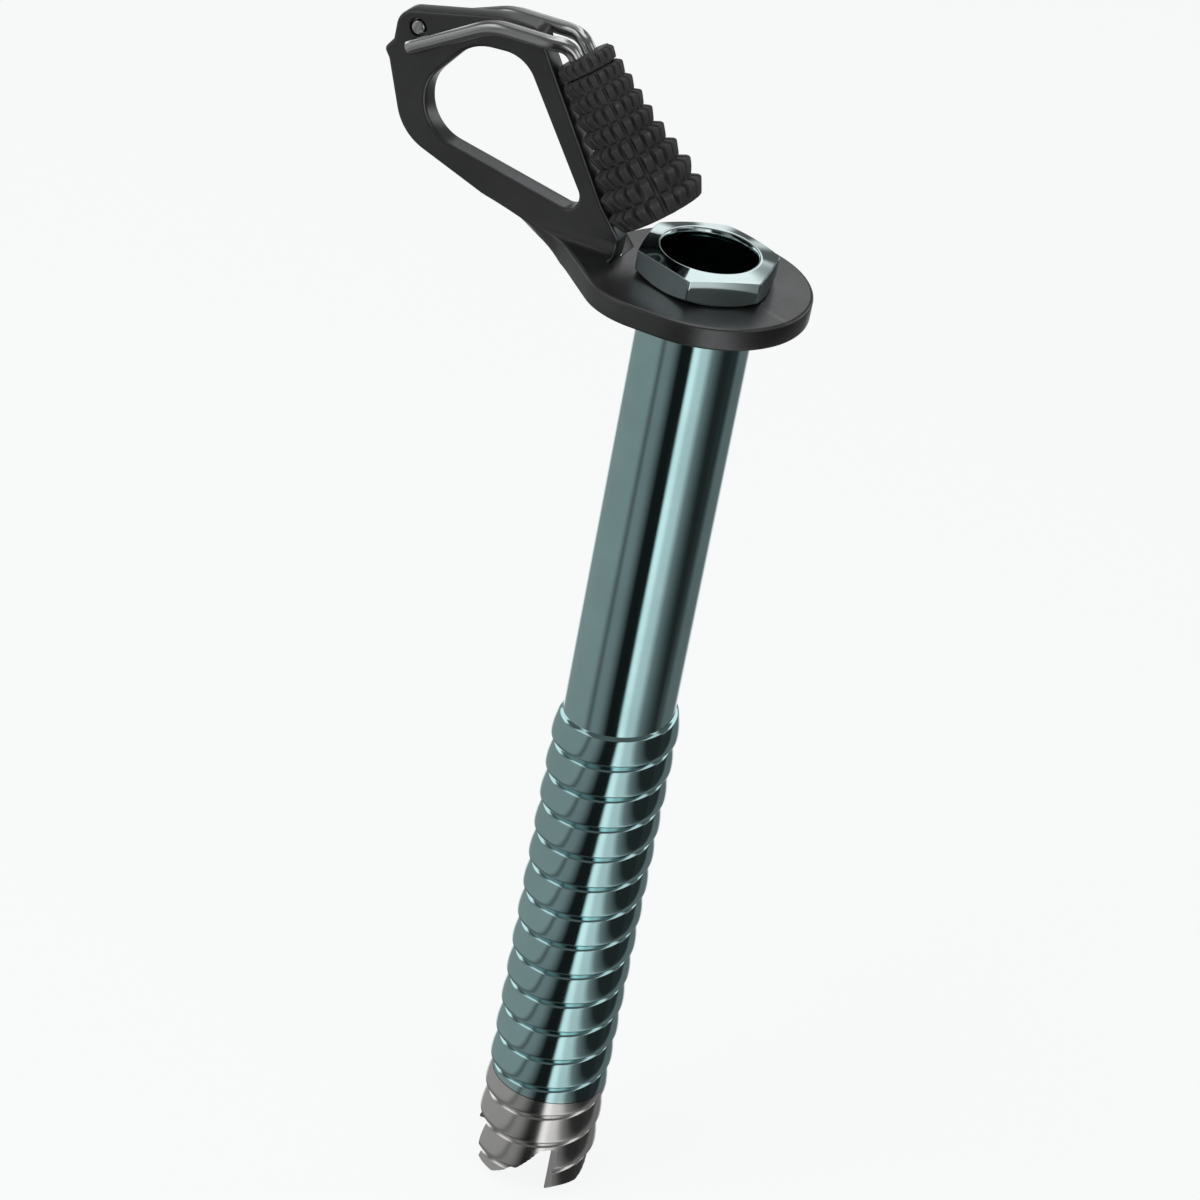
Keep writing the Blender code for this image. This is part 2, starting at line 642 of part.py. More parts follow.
def leg_points(end_x, end_z, side):
    """One leg of the crank from its end at the ear to the top of the knob, beside the plate."""
    run_z = knob_wire_end.y + 1.7
    bend_in = knob_wire_end + knob_down * (run_z - knob_wire_end.y) / knob_down.y
    shoulder = (knob_wire_end.x - 13.0, run_z - 0.4)
    inner = knob_wire_end + knob_down * LOOP_DEPTH
    flat = wire_path([(end_x, end_z), shoulder, tuple(bend_in), tuple(inner)], [10.0, 3.0])
    dense = []
    for a, b in zip(flat, flat[1:]):
        pieces = max(1, round((b - a).length / 3.0))
        dense.extend(a.lerp(b, k / pieces) for k in range(pieces))
    dense.append(flat[-1])
    points = []
    start = knob_wire_end.x - 4.2
    for point in dense:
        depth = (point - knob_wire_end).dot(knob_down)
        if point.x < start:
            offset = leg_offset
        elif depth < 0:
            share = (point.x - start) / (knob_wire_end.x - start)
            offset = leg_offset + (LOOP_HALF_WIDTH + 0.5 - leg_offset) * min(1.0, share)
        else:
            offset = LOOP_HALF_WIDTH + 0.5 * max(0.0, 1 - depth / ring_edge(1))
        points.append(Vector((point.x, plate_middle_y + side * offset, point.y)))
    return points


def leg_in_knob(side):
    """The part of a leg from just above the knob's top inwards."""
    legs = leg_points(foot_x, foot_z, side)
    return [point for point in legs if (point.xz - knob_wire_end).dot(knob_down) > -2.2]


def loop_points(steps=8):
    """The closed end of the wire: a half turn inside the knob."""
    points = []
    centre = knob_wire_end + knob_down * LOOP_DEPTH
    for k in range(1, steps):
        angle = math.pi * k / steps
        spot = centre + knob_down * LOOP_HALF_WIDTH * math.sin(angle)
        points.append(Vector((spot.x, plate_middle_y - LOOP_HALF_WIDTH * math.cos(angle), spot.y)))
    return points


def crank_wire(made_material, parent):
    front = leg_points(foot_x, foot_z, -1)
    back = leg_points(pivot_x, pivot_z, 1)
    corner = back[0]
    onward = (back[1] - corner).normalized()
    elbow_radius = 1.5
    middle = corner + onward * elbow_radius + Vector((0, -elbow_radius, 0))
    elbow = []
    for k in range(5):
        angle = math.pi / 2 * k / 4
        inward = onward * elbow_radius * math.sin(angle)
        elbow.append(middle - inward + Vector((0, elbow_radius * math.cos(angle), 0)))
    tail = Vector((corner.x, plate_front_y, corner.z))
    back_side = elbow + [tail]
    points = front + loop_points() + list(reversed(back[1:])) + back_side
    return add_object("crank_wire", sweep_wire(points, wire_radius), made_material, parent)


def stud_rings(first_ring, last_ring, start, end):
    """Studded skin rows along the knob: each ring flares out quickly and then tapers in."""
    rows = []
    for ring in range(first_ring, last_ring):
        begin = max(start, ring_edge(ring))
        finish = min(end, ring_edge(ring + 1))
        crest = ring_edge(ring) + 0.3 * (ring_edge(ring + 1) - ring_edge(ring))
        for depth, share in ((begin, 1.0), (crest, 0.0), (finish - 0.02, 0.85)):
            radius = knob_radius(depth)
            floor = radius - KNOB_STUD_DEPTH * (0.4 + 0.6 * min(1.0, depth / KNOB_LENGTH / 0.7))
            rows.append((depth, radius + (floor - radius) * share, floor))
    return rows


def studded_body(rows, inner_profile):
    """Closed body with lengthwise grooves outside and a plain round profile inside."""
    mesh_data = bmesh.new()
    columns = KNOB_GROOVES * 3
    rings = []
    for depth, crest, floor in rows:
        ring = []
        for i in range(columns):
            groove, part = divmod(i, 3)
            angle = 2 * math.pi * (groove + (0.0, 0.27, 0.73)[part]) / KNOB_GROOVES
            radius = min(crest, floor) if part == 0 else crest
            ring.append(Vector((radius * math.cos(angle), radius * math.sin(angle), depth)))
        rings.append(ring)
    for radius, depth in inner_profile:
        ring = []
        for i in range(columns):
            groove, part = divmod(i, 3)
            angle = 2 * math.pi * (groove + (0.0, 0.27, 0.73)[part]) / KNOB_GROOVES
            ring.append(Vector((radius * math.cos(angle), radius * math.sin(angle), depth)))
        rings.append(ring)
    return mesh_data, rings


def knob(plastic, rubber, steel, crank, spin):
    core_end = KNOB_LENGTH - 4.8
    collar_end = ring_edge(1) - FIT_GAP / 2
    grip_start = ring_edge(1) + FIT_GAP / 2
    screw_hole = KNOB_SCREW_RADIUS + FIT_GAP
    hole_bottom = LOOP_DEPTH + LOOP_HALF_WIDTH + wire_radius + 3 * FIT_GAP

    mesh_data, rings = studded_body(stud_rings(0, 1, 0.0, collar_end),
                                    ((CORE_RADIUS, collar_end), (CORE_RADIUS, core_end)))
    bridge_rings(mesh_data, rings)
    core = add_object("knob_core", from_knob_axis(mesh_data), plastic, crank)
    channel = leg_in_knob(-1) + loop_points() + list(reversed(leg_in_knob(1)))
    cut(core, add_object("wire_channel_cutter", sweep_wire(channel, wire_radius + FIT_GAP)))
    drill = rod(((screw_hole, hole_bottom), (screw_hole, KNOB_LENGTH)), 16)
    cut(core, add_object("screw_hole_cutter", from_knob_axis(drill)))

    sleeve = CORE_RADIUS + FIT_GAP
    recess = WASHER_RADIUS + FIT_GAP
    mesh_data, rings = studded_body(stud_rings(1, KNOB_RINGS, grip_start, KNOB_LENGTH),
                                    ((recess, KNOB_LENGTH - 0.02), (recess, core_end), (sleeve, core_end),
                                     (sleeve, grip_start)))
    bridge_rings(mesh_data, rings, cap=False)
    add_object("knob_grip", from_knob_axis(mesh_data), rubber, spin)

    washer_low = core_end + FIT_GAP
    washer_high = washer_low + WASHER_THICKNESS
    washer = lathe(((screw_hole, washer_low), (WASHER_RADIUS, washer_low), (WASHER_RADIUS, washer_high),
                    (screw_hole, washer_high)), 24)
    add_object("knob_washer", from_knob_axis(washer), steel, crank)

    seat = washer_high + FIT_GAP
    tip = hole_bottom + FIT_GAP
    head_radius = KNOB_SCREW_RADIUS * 2.1
    head = rod(((KNOB_SCREW_RADIUS * 0.6, tip), (KNOB_SCREW_RADIUS, tip + 0.5), (KNOB_SCREW_RADIUS, seat),
                (head_radius, seat), (head_radius, seat + 1.1), (head_radius - 0.3, seat + 1.5)), 24)
    screw = add_object("knob_screw", from_knob_axis(head), steel, crank)
    socket = prism(hexagon(KNOB_SCREW_RADIUS * 1.1), seat + 0.6, seat + 3)
    cut(screw, add_object("socket_cutter", from_knob_axis(socket)))


def main():
    for obj in list(bpy.data.objects):
        bpy.data.objects.remove(obj, do_unlink=True)
    plated = material("tube_metal", (0.30, 0.42, 0.43), 0.14, 1.0)
    head_metal = material("head_metal", (0.34, 0.46, 0.47), 0.14, 1.0)
    bare = material("tip_steel", (0.52, 0.51, 0.49), 0.25, 1.0)
    dark = material("hanger_metal", (0.045, 0.046, 0.048), 0.38, 0.5)
    bright = material("wire_steel", (0.72, 0.74, 0.74), 0.16, 1.0)
    plastic = material("knob_plastic", (0.018, 0.018, 0.019), 0.5, 0.0)
    rubber = material("knob_rubber", (0.014, 0.014, 0.015), 0.62, 0.0)
    steel = material("fastener_steel", (0.5, 0.5, 0.5), 0.35, 1.0)

    tube_and_crown(plated, bare)
    hex_head(head_metal)
    hanger(dark)
    crank = pivot("crank_pivot", Vector((pivot_x, plate_middle_y, pivot_z)), Vector((0, -1, 0)))
    knob_top = Vector((knob_wire_end.x, plate_middle_y, knob_wire_end.y))
    spin = pivot("knob_pivot", knob_top, Vector((knob_down.x, 0, knob_down.y)))
    spin.parent = crank
    spin.matrix_parent_inverse = crank.matrix_world.inverted()
    bpy.context.view_layer.update()
    crank_wire(bright, crank)
    knob(plastic, rubber, steel, crank, spin)


main()
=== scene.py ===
"""Looks of an ice climbing screw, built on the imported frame. Metres, same axes as the frame."""

import math

import bmesh
import bpy
from mathutils import Matrix, Vector
from mathutils.geometry import delaunay_2d_cdt


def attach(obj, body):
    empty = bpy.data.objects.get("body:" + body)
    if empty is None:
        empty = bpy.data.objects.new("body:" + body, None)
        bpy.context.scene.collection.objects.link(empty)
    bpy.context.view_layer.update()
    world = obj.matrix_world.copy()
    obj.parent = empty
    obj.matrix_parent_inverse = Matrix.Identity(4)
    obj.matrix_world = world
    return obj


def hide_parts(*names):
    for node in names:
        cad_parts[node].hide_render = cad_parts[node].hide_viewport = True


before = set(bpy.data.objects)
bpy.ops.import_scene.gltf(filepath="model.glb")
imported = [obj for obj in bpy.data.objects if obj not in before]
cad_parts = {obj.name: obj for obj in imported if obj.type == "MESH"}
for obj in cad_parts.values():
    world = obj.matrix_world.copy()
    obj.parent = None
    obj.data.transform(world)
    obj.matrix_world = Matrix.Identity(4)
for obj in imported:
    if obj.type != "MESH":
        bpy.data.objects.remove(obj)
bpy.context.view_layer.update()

MM = 0.001
GAP = 0.3
KNOB_GAP = 0.25

# Sizes in millimetres, the same as the solids' or a hair inside them. Angles in degrees.
TUBE_R = 8.5
BORE_R = 7.0
NECK_R = 7.9
SCREW_LENGTH = 159.7
PITCH = 5.63
RIDGE = 1.19
THREAD_TOP = 67.3
THREAD_START = 150.0
CROWN_LENGTH = 19.4
LAP_LENGTH = 6.0
LAP_R = 7.6
TOOTH_DEPTH = 9.5
TOOTH_BEVEL_SLOPE = 2.4
PLATE = 3.5
HEAD_LOW = 3.8
HEAD_TOP = 7.9
HEAD_CORNER_R = 10.8
HEAD_ANGLE = 38.5
HEAD_LIP = 1.2
HEAD_DOME_HEIGHT = 0.66
HEAD_DOME_START = 0.6
HEAD_DOME_SLOPE = 0.19
FACET_LIFT = 0.08
FACET_CROWN = 0.24
SEAT_R = 16.0
BEND_IN = 2.0
BEND_OUT = BEND_IN + PLATE
BEND_STEPS = 20
BEND_LINE = 5.2
EAR_SIDE = 12.9
RELIEF = 0.4
EAR_TOP = 33.2
EAR_REACH = 52.4
WIRE_R = 1.1
PIVOT = (-49.0, 27.1)
FOOT = (-49.4, 24.3)
KNOB_LENGTH = 25.0
KNOB_TILT = 40.1
KNOB_TOP_R = 4.3
KNOB_MIDDLE_R = 5.65
KNOB_WIDE_R = 7.3
KNOB_WIDEST = 0.82
GROOVE_DEPTH = 1.2
RINGS = 9
RING_GROWTH = 1.045
GROOVES = 20
CORE_R = 3.2
LOOP_HALF = 1.6
LOOP_DEPTH = 9.4
CHANNEL_AIR = 0.12
SCREW_R = 1.1
WASHER_R = 4.6
WASHER_THICKNESS = 0.8
ELBOW_R = 1.5

bend_y = -BEND_LINE
bend_length = (BEND_IN + PLATE / 2) * math.pi / 2
front_y = bend_y + BEND_IN
middle_y = front_y + PLATE / 2
leg_offset = PLATE / 2 + GAP + WIRE_R
tilt = math.radians(KNOB_TILT)
down = Vector((math.sin(tilt), -math.cos(tilt)))
right = Vector((math.cos(tilt), math.sin(tilt)))
free_end = Vector((-HEAD_CORNER_R, HEAD_TOP)) - down * 0.8 + right * 4.8
wire_end = free_end - down * KNOB_LENGTH
crown_top = CROWN_LENGTH - SCREW_LENGTH


# Shapes
def mix(a, b, share):
    return a + (b - a) * share


def smooth_step(low, high, value):
    share = max(0.0, min(1.0, (value - low) / (high - low)))
    return share * share * (3 - 2 * share)


def soft_min(values, blend):
    lowest = min(values)
    return lowest - blend * math.log(sum(math.exp((lowest - v) / blend) for v in values))


def ring_edge(ring):
    return KNOB_LENGTH * (RING_GROWTH ** ring - 1) / (RING_GROWTH ** RINGS - 1)


def knob_radius(depth):
    """Radius over the knob's blocks at a depth measured down from its wire end."""
    share = depth / KNOB_LENGTH
    if share < 0.5:
        return mix(KNOB_TOP_R, KNOB_MIDDLE_R, share / 0.5)
    return mix(KNOB_MIDDLE_R, KNOB_WIDE_R, min(1.0, (share - 0.5) / 0.32))


def add_object(name, mesh_data, made_material=None, sharp=40):
    bmesh.ops.recalc_face_normals(mesh_data, faces=mesh_data.faces)
    bmesh.ops.scale(mesh_data, vec=(MM, MM, MM), verts=mesh_data.verts)
    mesh = bpy.data.meshes.new(name)
    mesh_data.to_mesh(mesh)
    mesh_data.free()
    obj = bpy.data.objects.new(name, mesh)
    bpy.context.scene.collection.objects.link(obj)
    for polygon in mesh.polygons:
        polygon.use_smooth = True
    if sharp:
        mesh.set_sharp_from_angle(angle=math.radians(sharp))
    if made_material:
        mesh.materials.append(made_material)
    return obj


def apply_cuts(target, cutters, sharp=35):
    """Cut the target and bake the result into its mesh."""
    for cutter in cutters:
        modifier = target.modifiers.new(cutter.name, "BOOLEAN")
        modifier.operation = "DIFFERENCE"
        modifier.solver = "EXACT"
        modifier.object = cutter
    graph = bpy.context.evaluated_depsgraph_get()
    mesh = bpy.data.meshes.new_from_object(target.evaluated_get(graph))
    target.modifiers.clear()
    target.data = mesh
    for polygon in mesh.polygons:
        polygon.use_smooth = True
    mesh.set_sharp_from_angle(angle=math.radians(sharp))
    for cutter in cutters:
        bpy.data.objects.remove(cutter, do_unlink=True)


def bridge(mesh_data, rings, cap=True, close=False):
    """Join rings of points into a skin, with flat caps at the ends or the last ring joined to the first."""
    rows = [[mesh_data.verts.new(point) for point in ring] for ring in rings]
    count = len(rows[0])
    pairs = list(zip(rows, rows[1:]))
    if close:
        pairs.append((rows[-1], rows[0]))
    for lower, upper in pairs:
        for i in range(count):
            j = (i + 1) % count
            mesh_data.faces.new((lower[i], lower[j], upper[j], upper[i]))
    if cap and not close:
        mesh_data.faces.new(list(reversed(rows[0])))
        mesh_data.faces.new(rows[-1])


def circle(radius, z, sides):
    angles = [2 * math.pi * i / sides for i in range(sides)]
    return [Vector((radius * math.cos(a), radius * math.sin(a), z)) for a in angles]


def lathe(profile, sides, close=True):
    """Turn (radius, height) points round Z. A closed profile makes a ring, an open one is capped."""
    mesh_data = bmesh.new()
    bridge(mesh_data, [circle(r, z, sides) for r, z in profile], cap=not close, close=close)
    return mesh_data


def rounded(corners, step=5.0):
    """Points round a closed outline. Each corner is (x, y, fillet radius)."""
    outline = []
    for i, (x, y, radius) in enumerate(corners):
        here = Vector((x, y))
        before = (Vector(corners[i - 1][:2]) - here).normalized()
        after = (Vector(corners[(i + 1) % len(corners)][:2]) - here).normalized()
        if radius == 0:
            outline.append(here)
            continue
        half = before.angle(after) / 2
        centre = here + (before + after).normalized() * radius / math.sin(half)
        start = here + before * radius / math.tan(half) - centre
        sweep = math.pi - 2 * half
        if before.x * after.y - before.y * after.x > 0:
            sweep = -sweep
        steps = max(1, math.ceil(abs(math.degrees(sweep)) / step))
        for k in range(steps + 1):
            outline.append(centre + Matrix.Rotation(sweep * k / steps, 2) @ start)
    return outline


def arc(centre, radius, first, last, steps):
    points = []
    for k in range(steps + 1):
        a = math.radians(mix(first, last, k / steps))
        points.append(Vector((centre[0] + radius * math.cos(a), centre[1] + radius * math.sin(a))))
    return points


def inset(outline, distance):
    """Move each point to the left of the outline's way round."""
    moved = []
    for i, here in enumerate(outline):
        before = (here - outline[i - 1]).normalized()
        after = (outline[(i + 1) % len(outline)] - here).normalized()
        left = Vector((-before.y - after.y, before.x + after.x)).normalized()
        lean = max(0.4, left.dot(Vector((-before.y, before.x))))
        moved.append(here + left * distance / lean)
    return moved


def inside(point, outline):
    found = False
    for i, a in enumerate(outline):
        b = outline[i - 1]
        if (a.y > point.y) != (b.y > point.y):
            if point.x < (b.x - a.x) * (point.y - a.y) / (b.y - a.y) + a.x:
                found = not found
    return found


def down_knob(mesh_data):
    """Stand a mesh made along Z on the knob's axis, which starts at the wire end."""
    axis = Vector((down.x, 0, down.y))
    turn = axis.to_track_quat("Z", "Y").to_matrix().to_4x4()
    place = Matrix.Translation((wire_end.x, middle_y, wire_end.y))
    bmesh.ops.transform(mesh_data, matrix=place @ turn, verts=mesh_data.verts)
    return mesh_data


# Screw tube and crown
def ridge_profile():
    """Shares of a pitch and of the height: a quick rise, a long swelling back and a short steep lip."""
    back = [
        (0.0, 0.0), (0.015, 0.07), (0.04, 0.21), (0.07, 0.36), (0.09, 0.43), (0.12, 0.49), (0.18, 0.58),
        (0.26, 0.68), (0.36, 0.79), (0.46, 0.88), (0.56, 0.945), (0.66, 0.985), (0.74, 1.0)]
    lip = [
        (0.79, 0.99), (0.825, 0.955), (0.85, 0.89), (0.87, 0.79), (0.895, 0.60), (0.92, 0.38),
        (0.945, 0.18), (0.97, 0.05)]
    return back + lip


def threaded_rod(top_profile, z_bottom, per_turn=96):
    """Full rod with one thread: the ridge, then the smooth rings above it, then the end below it."""
    mesh_data = bmesh.new()
    columns = round(((SCREW_LENGTH - THREAD_TOP) / PITCH - 0.2) * per_turn)
    ridge = ridge_profile()

    def direction(i):
        a = math.radians(THREAD_START) - 2 * math.pi * i / per_turn
        return Vector((math.cos(a), math.sin(a), 0))

    def ridge_vertex(i, k):
        share, height = ridge[k]
        along = i / per_turn
        fade = max(0.0, min(1.0, along / 0.33, (columns / per_turn - along) / 0.33))
        radius = TUBE_R + RIDGE * height * fade
        z = -THREAD_TOP - PITCH * (along + share)
        return mesh_data.verts.new(direction(i) * radius + Vector((0, 0, z)))

    grid = [[ridge_vertex(i, k) for k in range(len(ridge))] for i in range(columns + 1)]
    grid += [[ridge_vertex(i, 0)] for i in range(columns + 1, columns + per_turn + 1)]
    for i in range(columns):
        left = grid[i] + [grid[i + per_turn][0]]
        nxt = grid[i + 1] + [grid[i + 1 + per_turn][0]]
        for k in range(len(ridge)):
            mesh_data.faces.new((left[k], left[k + 1], nxt[k + 1], nxt[k]))

    def ring_at(radius, z, first=0):
        level = Vector((0, 0, z))
        return [mesh_data.verts.new(direction(first + i) * radius + level) for i in range(per_turn)]

    rings = [ring_at(radius, z) for radius, z in top_profile]
    for upper, lower in zip(rings, rings[1:]):
        for i in range(per_turn):
            j = (i + 1) % per_turn
            mesh_data.faces.new((upper[i], lower[i], lower[j], upper[j]))
    mesh_data.faces.new(rings[0])
    last = rings[-1]
    for i in range(per_turn - 1):
        mesh_data.faces.new((last[i], grid[i][0], grid[i + 1][0], last[i + 1]))
    seam = [last[-1], grid[per_turn - 1][0], grid[per_turn][0]] + list(reversed(grid[0]))
    mesh_data.faces.new(seam + [last[0]])
    base = ring_at(TUBE_R, z_bottom, columns)
    seam = grid[columns] + [grid[columns + per_turn][0], base[0], base[1], grid[columns + 1][0]]
    mesh_data.faces.new(seam)
    for i in range(1, per_turn):
        j = (i + 1) % per_turn
        mesh_data.faces.new((grid[columns + i][0], base[i], base[j], grid[columns + i + 1][0]))
    mesh_data.faces.new(base)
    return mesh_data


def tooth_gaps():
    """Cutter for the gaps between the teeth. The shape is (degrees from a tip, share of the depth)."""
    shape = [(0.0, 0.0), (9.0, 0.02), (22.0, 0.18), (36.0, 0.33), (52.0, 0.55), (62.0, 0.76), (72.0, 0.97),
             (80.0, 1.0)]
    tip = -SCREW_LENGTH
    low = tip - PITCH - 2
    inner = BORE_R - 2
    outer = TUBE_R + 3.2
    columns = []
    for tooth in range(4):
        for (a, rise), (b, after) in zip(shape, shape[1:] + [(90.0, 1.0)]):
            for k in range(3):
                degrees = mix(a, b, k / 3)
                level = rise if b == 90.0 else mix(rise, after, k / 3)
                angle = math.radians(-45 + 90 * tooth + degrees)
                columns.append((angle, tip + level * TOOTH_DEPTH, degrees == 0))
    mesh_data = bmesh.new()

    def vertex(radius, angle, z):
        return mesh_data.verts.new((radius * math.cos(angle), radius * math.sin(angle), z))

    made = []
    for angle, z, at_tip in columns:
        entry = {"low": (vertex(inner, angle, low), vertex(outer, angle, low))}
        entry["edge"] = (vertex(inner, angle, z), vertex(outer, angle, z))
        entry["step"] = entry["edge"]
        if at_tip:
            top = tip + TOOTH_DEPTH
            entry["step"] = (vertex(inner, angle, top), vertex(outer, angle, top))
            mesh_data.faces.new((*entry["edge"], entry["step"][1], entry["step"][0]))
        made.append(entry)
    for i, now in enumerate(made):
        then = made[(i + 1) % len(made)]
        mesh_data.faces.new((now["low"][0], then["low"][0], then["low"][1], now["low"][1]))
        mesh_data.faces.new((now["edge"][0], now["edge"][1], then["step"][1], then["step"][0]))
        for side in (0, 1):
            wall = [now["low"][side], now["edge"][side], then["step"][side]]
            if then["step"] is not then["edge"]:
                wall.append(then["edge"][side])
            mesh_data.faces.new(wall + [then["low"][side]])
    return mesh_data


def tube_and_crown(tube_metal, tip_steel):
    neck_top = HEAD_TOP - HEAD_LIP - GAP
    top = [(NECK_R, neck_top), (NECK_R, -GAP), (TUBE_R - 0.15, -GAP), (TUBE_R, -GAP - 0.15)]
    top += [(TUBE_R, -z) for z in (8, 16, 24, 32, 40, 48, 56, 62, 67)]
    far = -SCREW_LENGTH - PITCH - 10
    wide = TUBE_R + 5.2
    bottom = -SCREW_LENGTH - PITCH
    tube = add_object("tube_shell", threaded_rod(top, bottom), tube_metal)
    crown = add_object("crown_shell", threaded_rod(top, bottom), tip_steel)
    lap_top = crown_top + LAP_LENGTH
    joint = ((BORE_R, neck_top + 5), (BORE_R, lap_top), (LAP_R + GAP, lap_top), (LAP_R + GAP, crown_top),
             (wide, crown_top), (wide, far))
    apply_cuts(tube, [add_object("joint_cutter", lathe(joint, 96, close=False))])
    low = crown_top - 0.12
    lap_low = lap_top - GAP
    outside = ((0.5, far), (BORE_R, far), (BORE_R, lap_low), (LAP_R, lap_low), (LAP_R, low), (wide, low),
               (wide, neck_top + 5), (0.5, neck_top + 5))
    core = ((1.0, neck_top + 6), (1.0, far - 1))
    tip_r = BORE_R + 0.25
    slope = TOOTH_BEVEL_SLOPE / (TUBE_R + 1.2 - tip_r)
    bevel = ((BORE_R - 1, -SCREW_LENGTH - slope * 1.25), (wide, -SCREW_LENGTH + slope * (wide - tip_r)),
             (wide, far), (BORE_R - 1, far))
    apply_cuts(crown, [add_object("outside_cutter", lathe(outside, 96)),
                       add_object("core_cutter", lathe(core, 12, close=False)),
                       add_object("gap_cutter", tooth_gaps()),
                       add_object("bevel_cutter", lathe(bevel, 96))])
    return tube, crown


# Hex head
def hex_head(metal):
    """Hexagon ring with faintly crowned facets, chamfered rims and a low dome on top."""
    flat_r = HEAD_CORNER_R * math.cos(math.pi / 6)
    rim = flat_r + 0.25
    rise = math.tan(math.radians(30))

    def outer(angle, z):
        turn = (angle - math.radians(HEAD_ANGLE)) % (math.pi / 3) - math.pi / 6
        sides = [flat_r / max(0.2, math.cos(turn + k * math.pi / 3)) for k in (-1, 0, 1)]
        cone_low = rim + (z - HEAD_LOW) / rise
        cone_high = rim + (HEAD_TOP - z) / rise
        dome = BORE_R + HEAD_DOME_START + (HEAD_TOP - z) / HEAD_DOME_SLOPE
        across = flat_r * math.tan(turn) / (HEAD_CORNER_R / 2)
        crowned = [side + FACET_LIFT - FACET_CROWN * across * across for side in sides]
        return min(HEAD_CORNER_R - 0.02, soft_min(crowned + [cone_low, cone_high, dome], 0.035))

    dome_low = HEAD_TOP - HEAD_DOME_HEIGHT
    plain_steps, dome_steps = 32, 40
    levels = [HEAD_LOW + (dome_low - HEAD_LOW) * k / plain_steps for k in range(plain_steps)]
    levels += [dome_low + (HEAD_TOP - dome_low) * k / dome_steps for k in range(dome_steps + 1)]
    pocket = NECK_R + GAP
    lip = HEAD_TOP - HEAD_LIP
    mouth = BORE_R + 0.2
    inner = [(mouth + 0.25, HEAD_TOP), (mouth + 0.08, HEAD_TOP - 0.04), (mouth, HEAD_TOP - 0.13)]
    inner += [(BORE_R, HEAD_TOP - HEAD_LIP * 0.7)]
    inner += [(BORE_R, lip), (pocket, lip), (pocket, HEAD_LOW)]
    columns = 360
    rings = []
    for z in levels:
        ring = []
        for i in range(columns):
            a = 2 * math.pi * i / columns
            r = outer(a, z)
            ring.append(Vector((r * math.cos(a), r * math.sin(a), z)))
        rings.append(ring)
    rings += [circle(r, z, columns) for r, z in inner]
    mesh_data = bmesh.new()
    bridge(mesh_data, rings, cap=False, close=True)
    return add_object("head_shell", mesh_data, metal, sharp=50)


# Hanger
def beside_knob(depth, offset):
    """Point beside the knob in the ear's plane, (x, z)."""
    return wire_end + down * depth - right * (knob_radius(depth) + offset)


def limb_at(z, offset):
    a = beside_knob(0, offset)
    b = beside_knob(KNOB_WIDEST * KNOB_LENGTH, offset)
    return a.lerp(b, (z - a.y) / (b.y - a.y))


def ear_level(z):
    """Distance along the flat plate, from the bend's line, that a height on the ear has."""
    return bend_length + z - BEND_OUT


widest = beside_knob(KNOB_WIDEST * KNOB_LENGTH, KNOB_GAP)
slot_level = ear_level(widest.y + (-EAR_SIDE - widest.x) * down.y / down.x)


def slot_x(v):
    return -EAR_SIDE + RELIEF / 2 + max(0.0, v - slot_level) * down.x / down.y


def on_ear_side(x, v):
    return x < slot_x(v) or (math.hypot(x, v - BEND_LINE) > SEAT_R + 0.1 and x < 0)


def fold(x, v, w):
    """Place of a flat point after bending. The plate's thickness runs along w."""
    if v <= 0 or not on_ear_side(x, v):
        return Vector((x, bend_y + v, w))
    turn = min(v / bend_length, 1.0) * math.pi / 2
    radius = BEND_OUT - w
    up = max(0.0, v - bend_length)
    return Vector((x, bend_y + radius * math.sin(turn), BEND_OUT - radius * math.cos(turn) + up))


def crossings(here, after, levels):
    if not (on_ear_side(*here) and on_ear_side(*after)):
        return []
    crossed = [lev for lev in levels if (here.y - lev) * (after.y - lev) < -1e-12]
    return sorted((lev - here.y) / (after.y - here.y) for lev in crossed)


def split_at_levels(outline, rim, levels):
    """Add points where an outline and its rim cross the levels of the bend."""
    full, full_rim = [], []
    for i, here in enumerate(outline):
        j = (i + 1) % len(outline)
        for share in [0.0] + crossings(here, outline[j], levels):
            full.append(here.lerp(outline[j], share))
            full_rim.append(rim[i].lerp(rim[j], share))
    return full, full_rim


def signed_area(outline):
    return sum(a.x * b.y - b.x * a.y for a, b in zip(outline[-1:] + outline[:-1], outline)) / 2


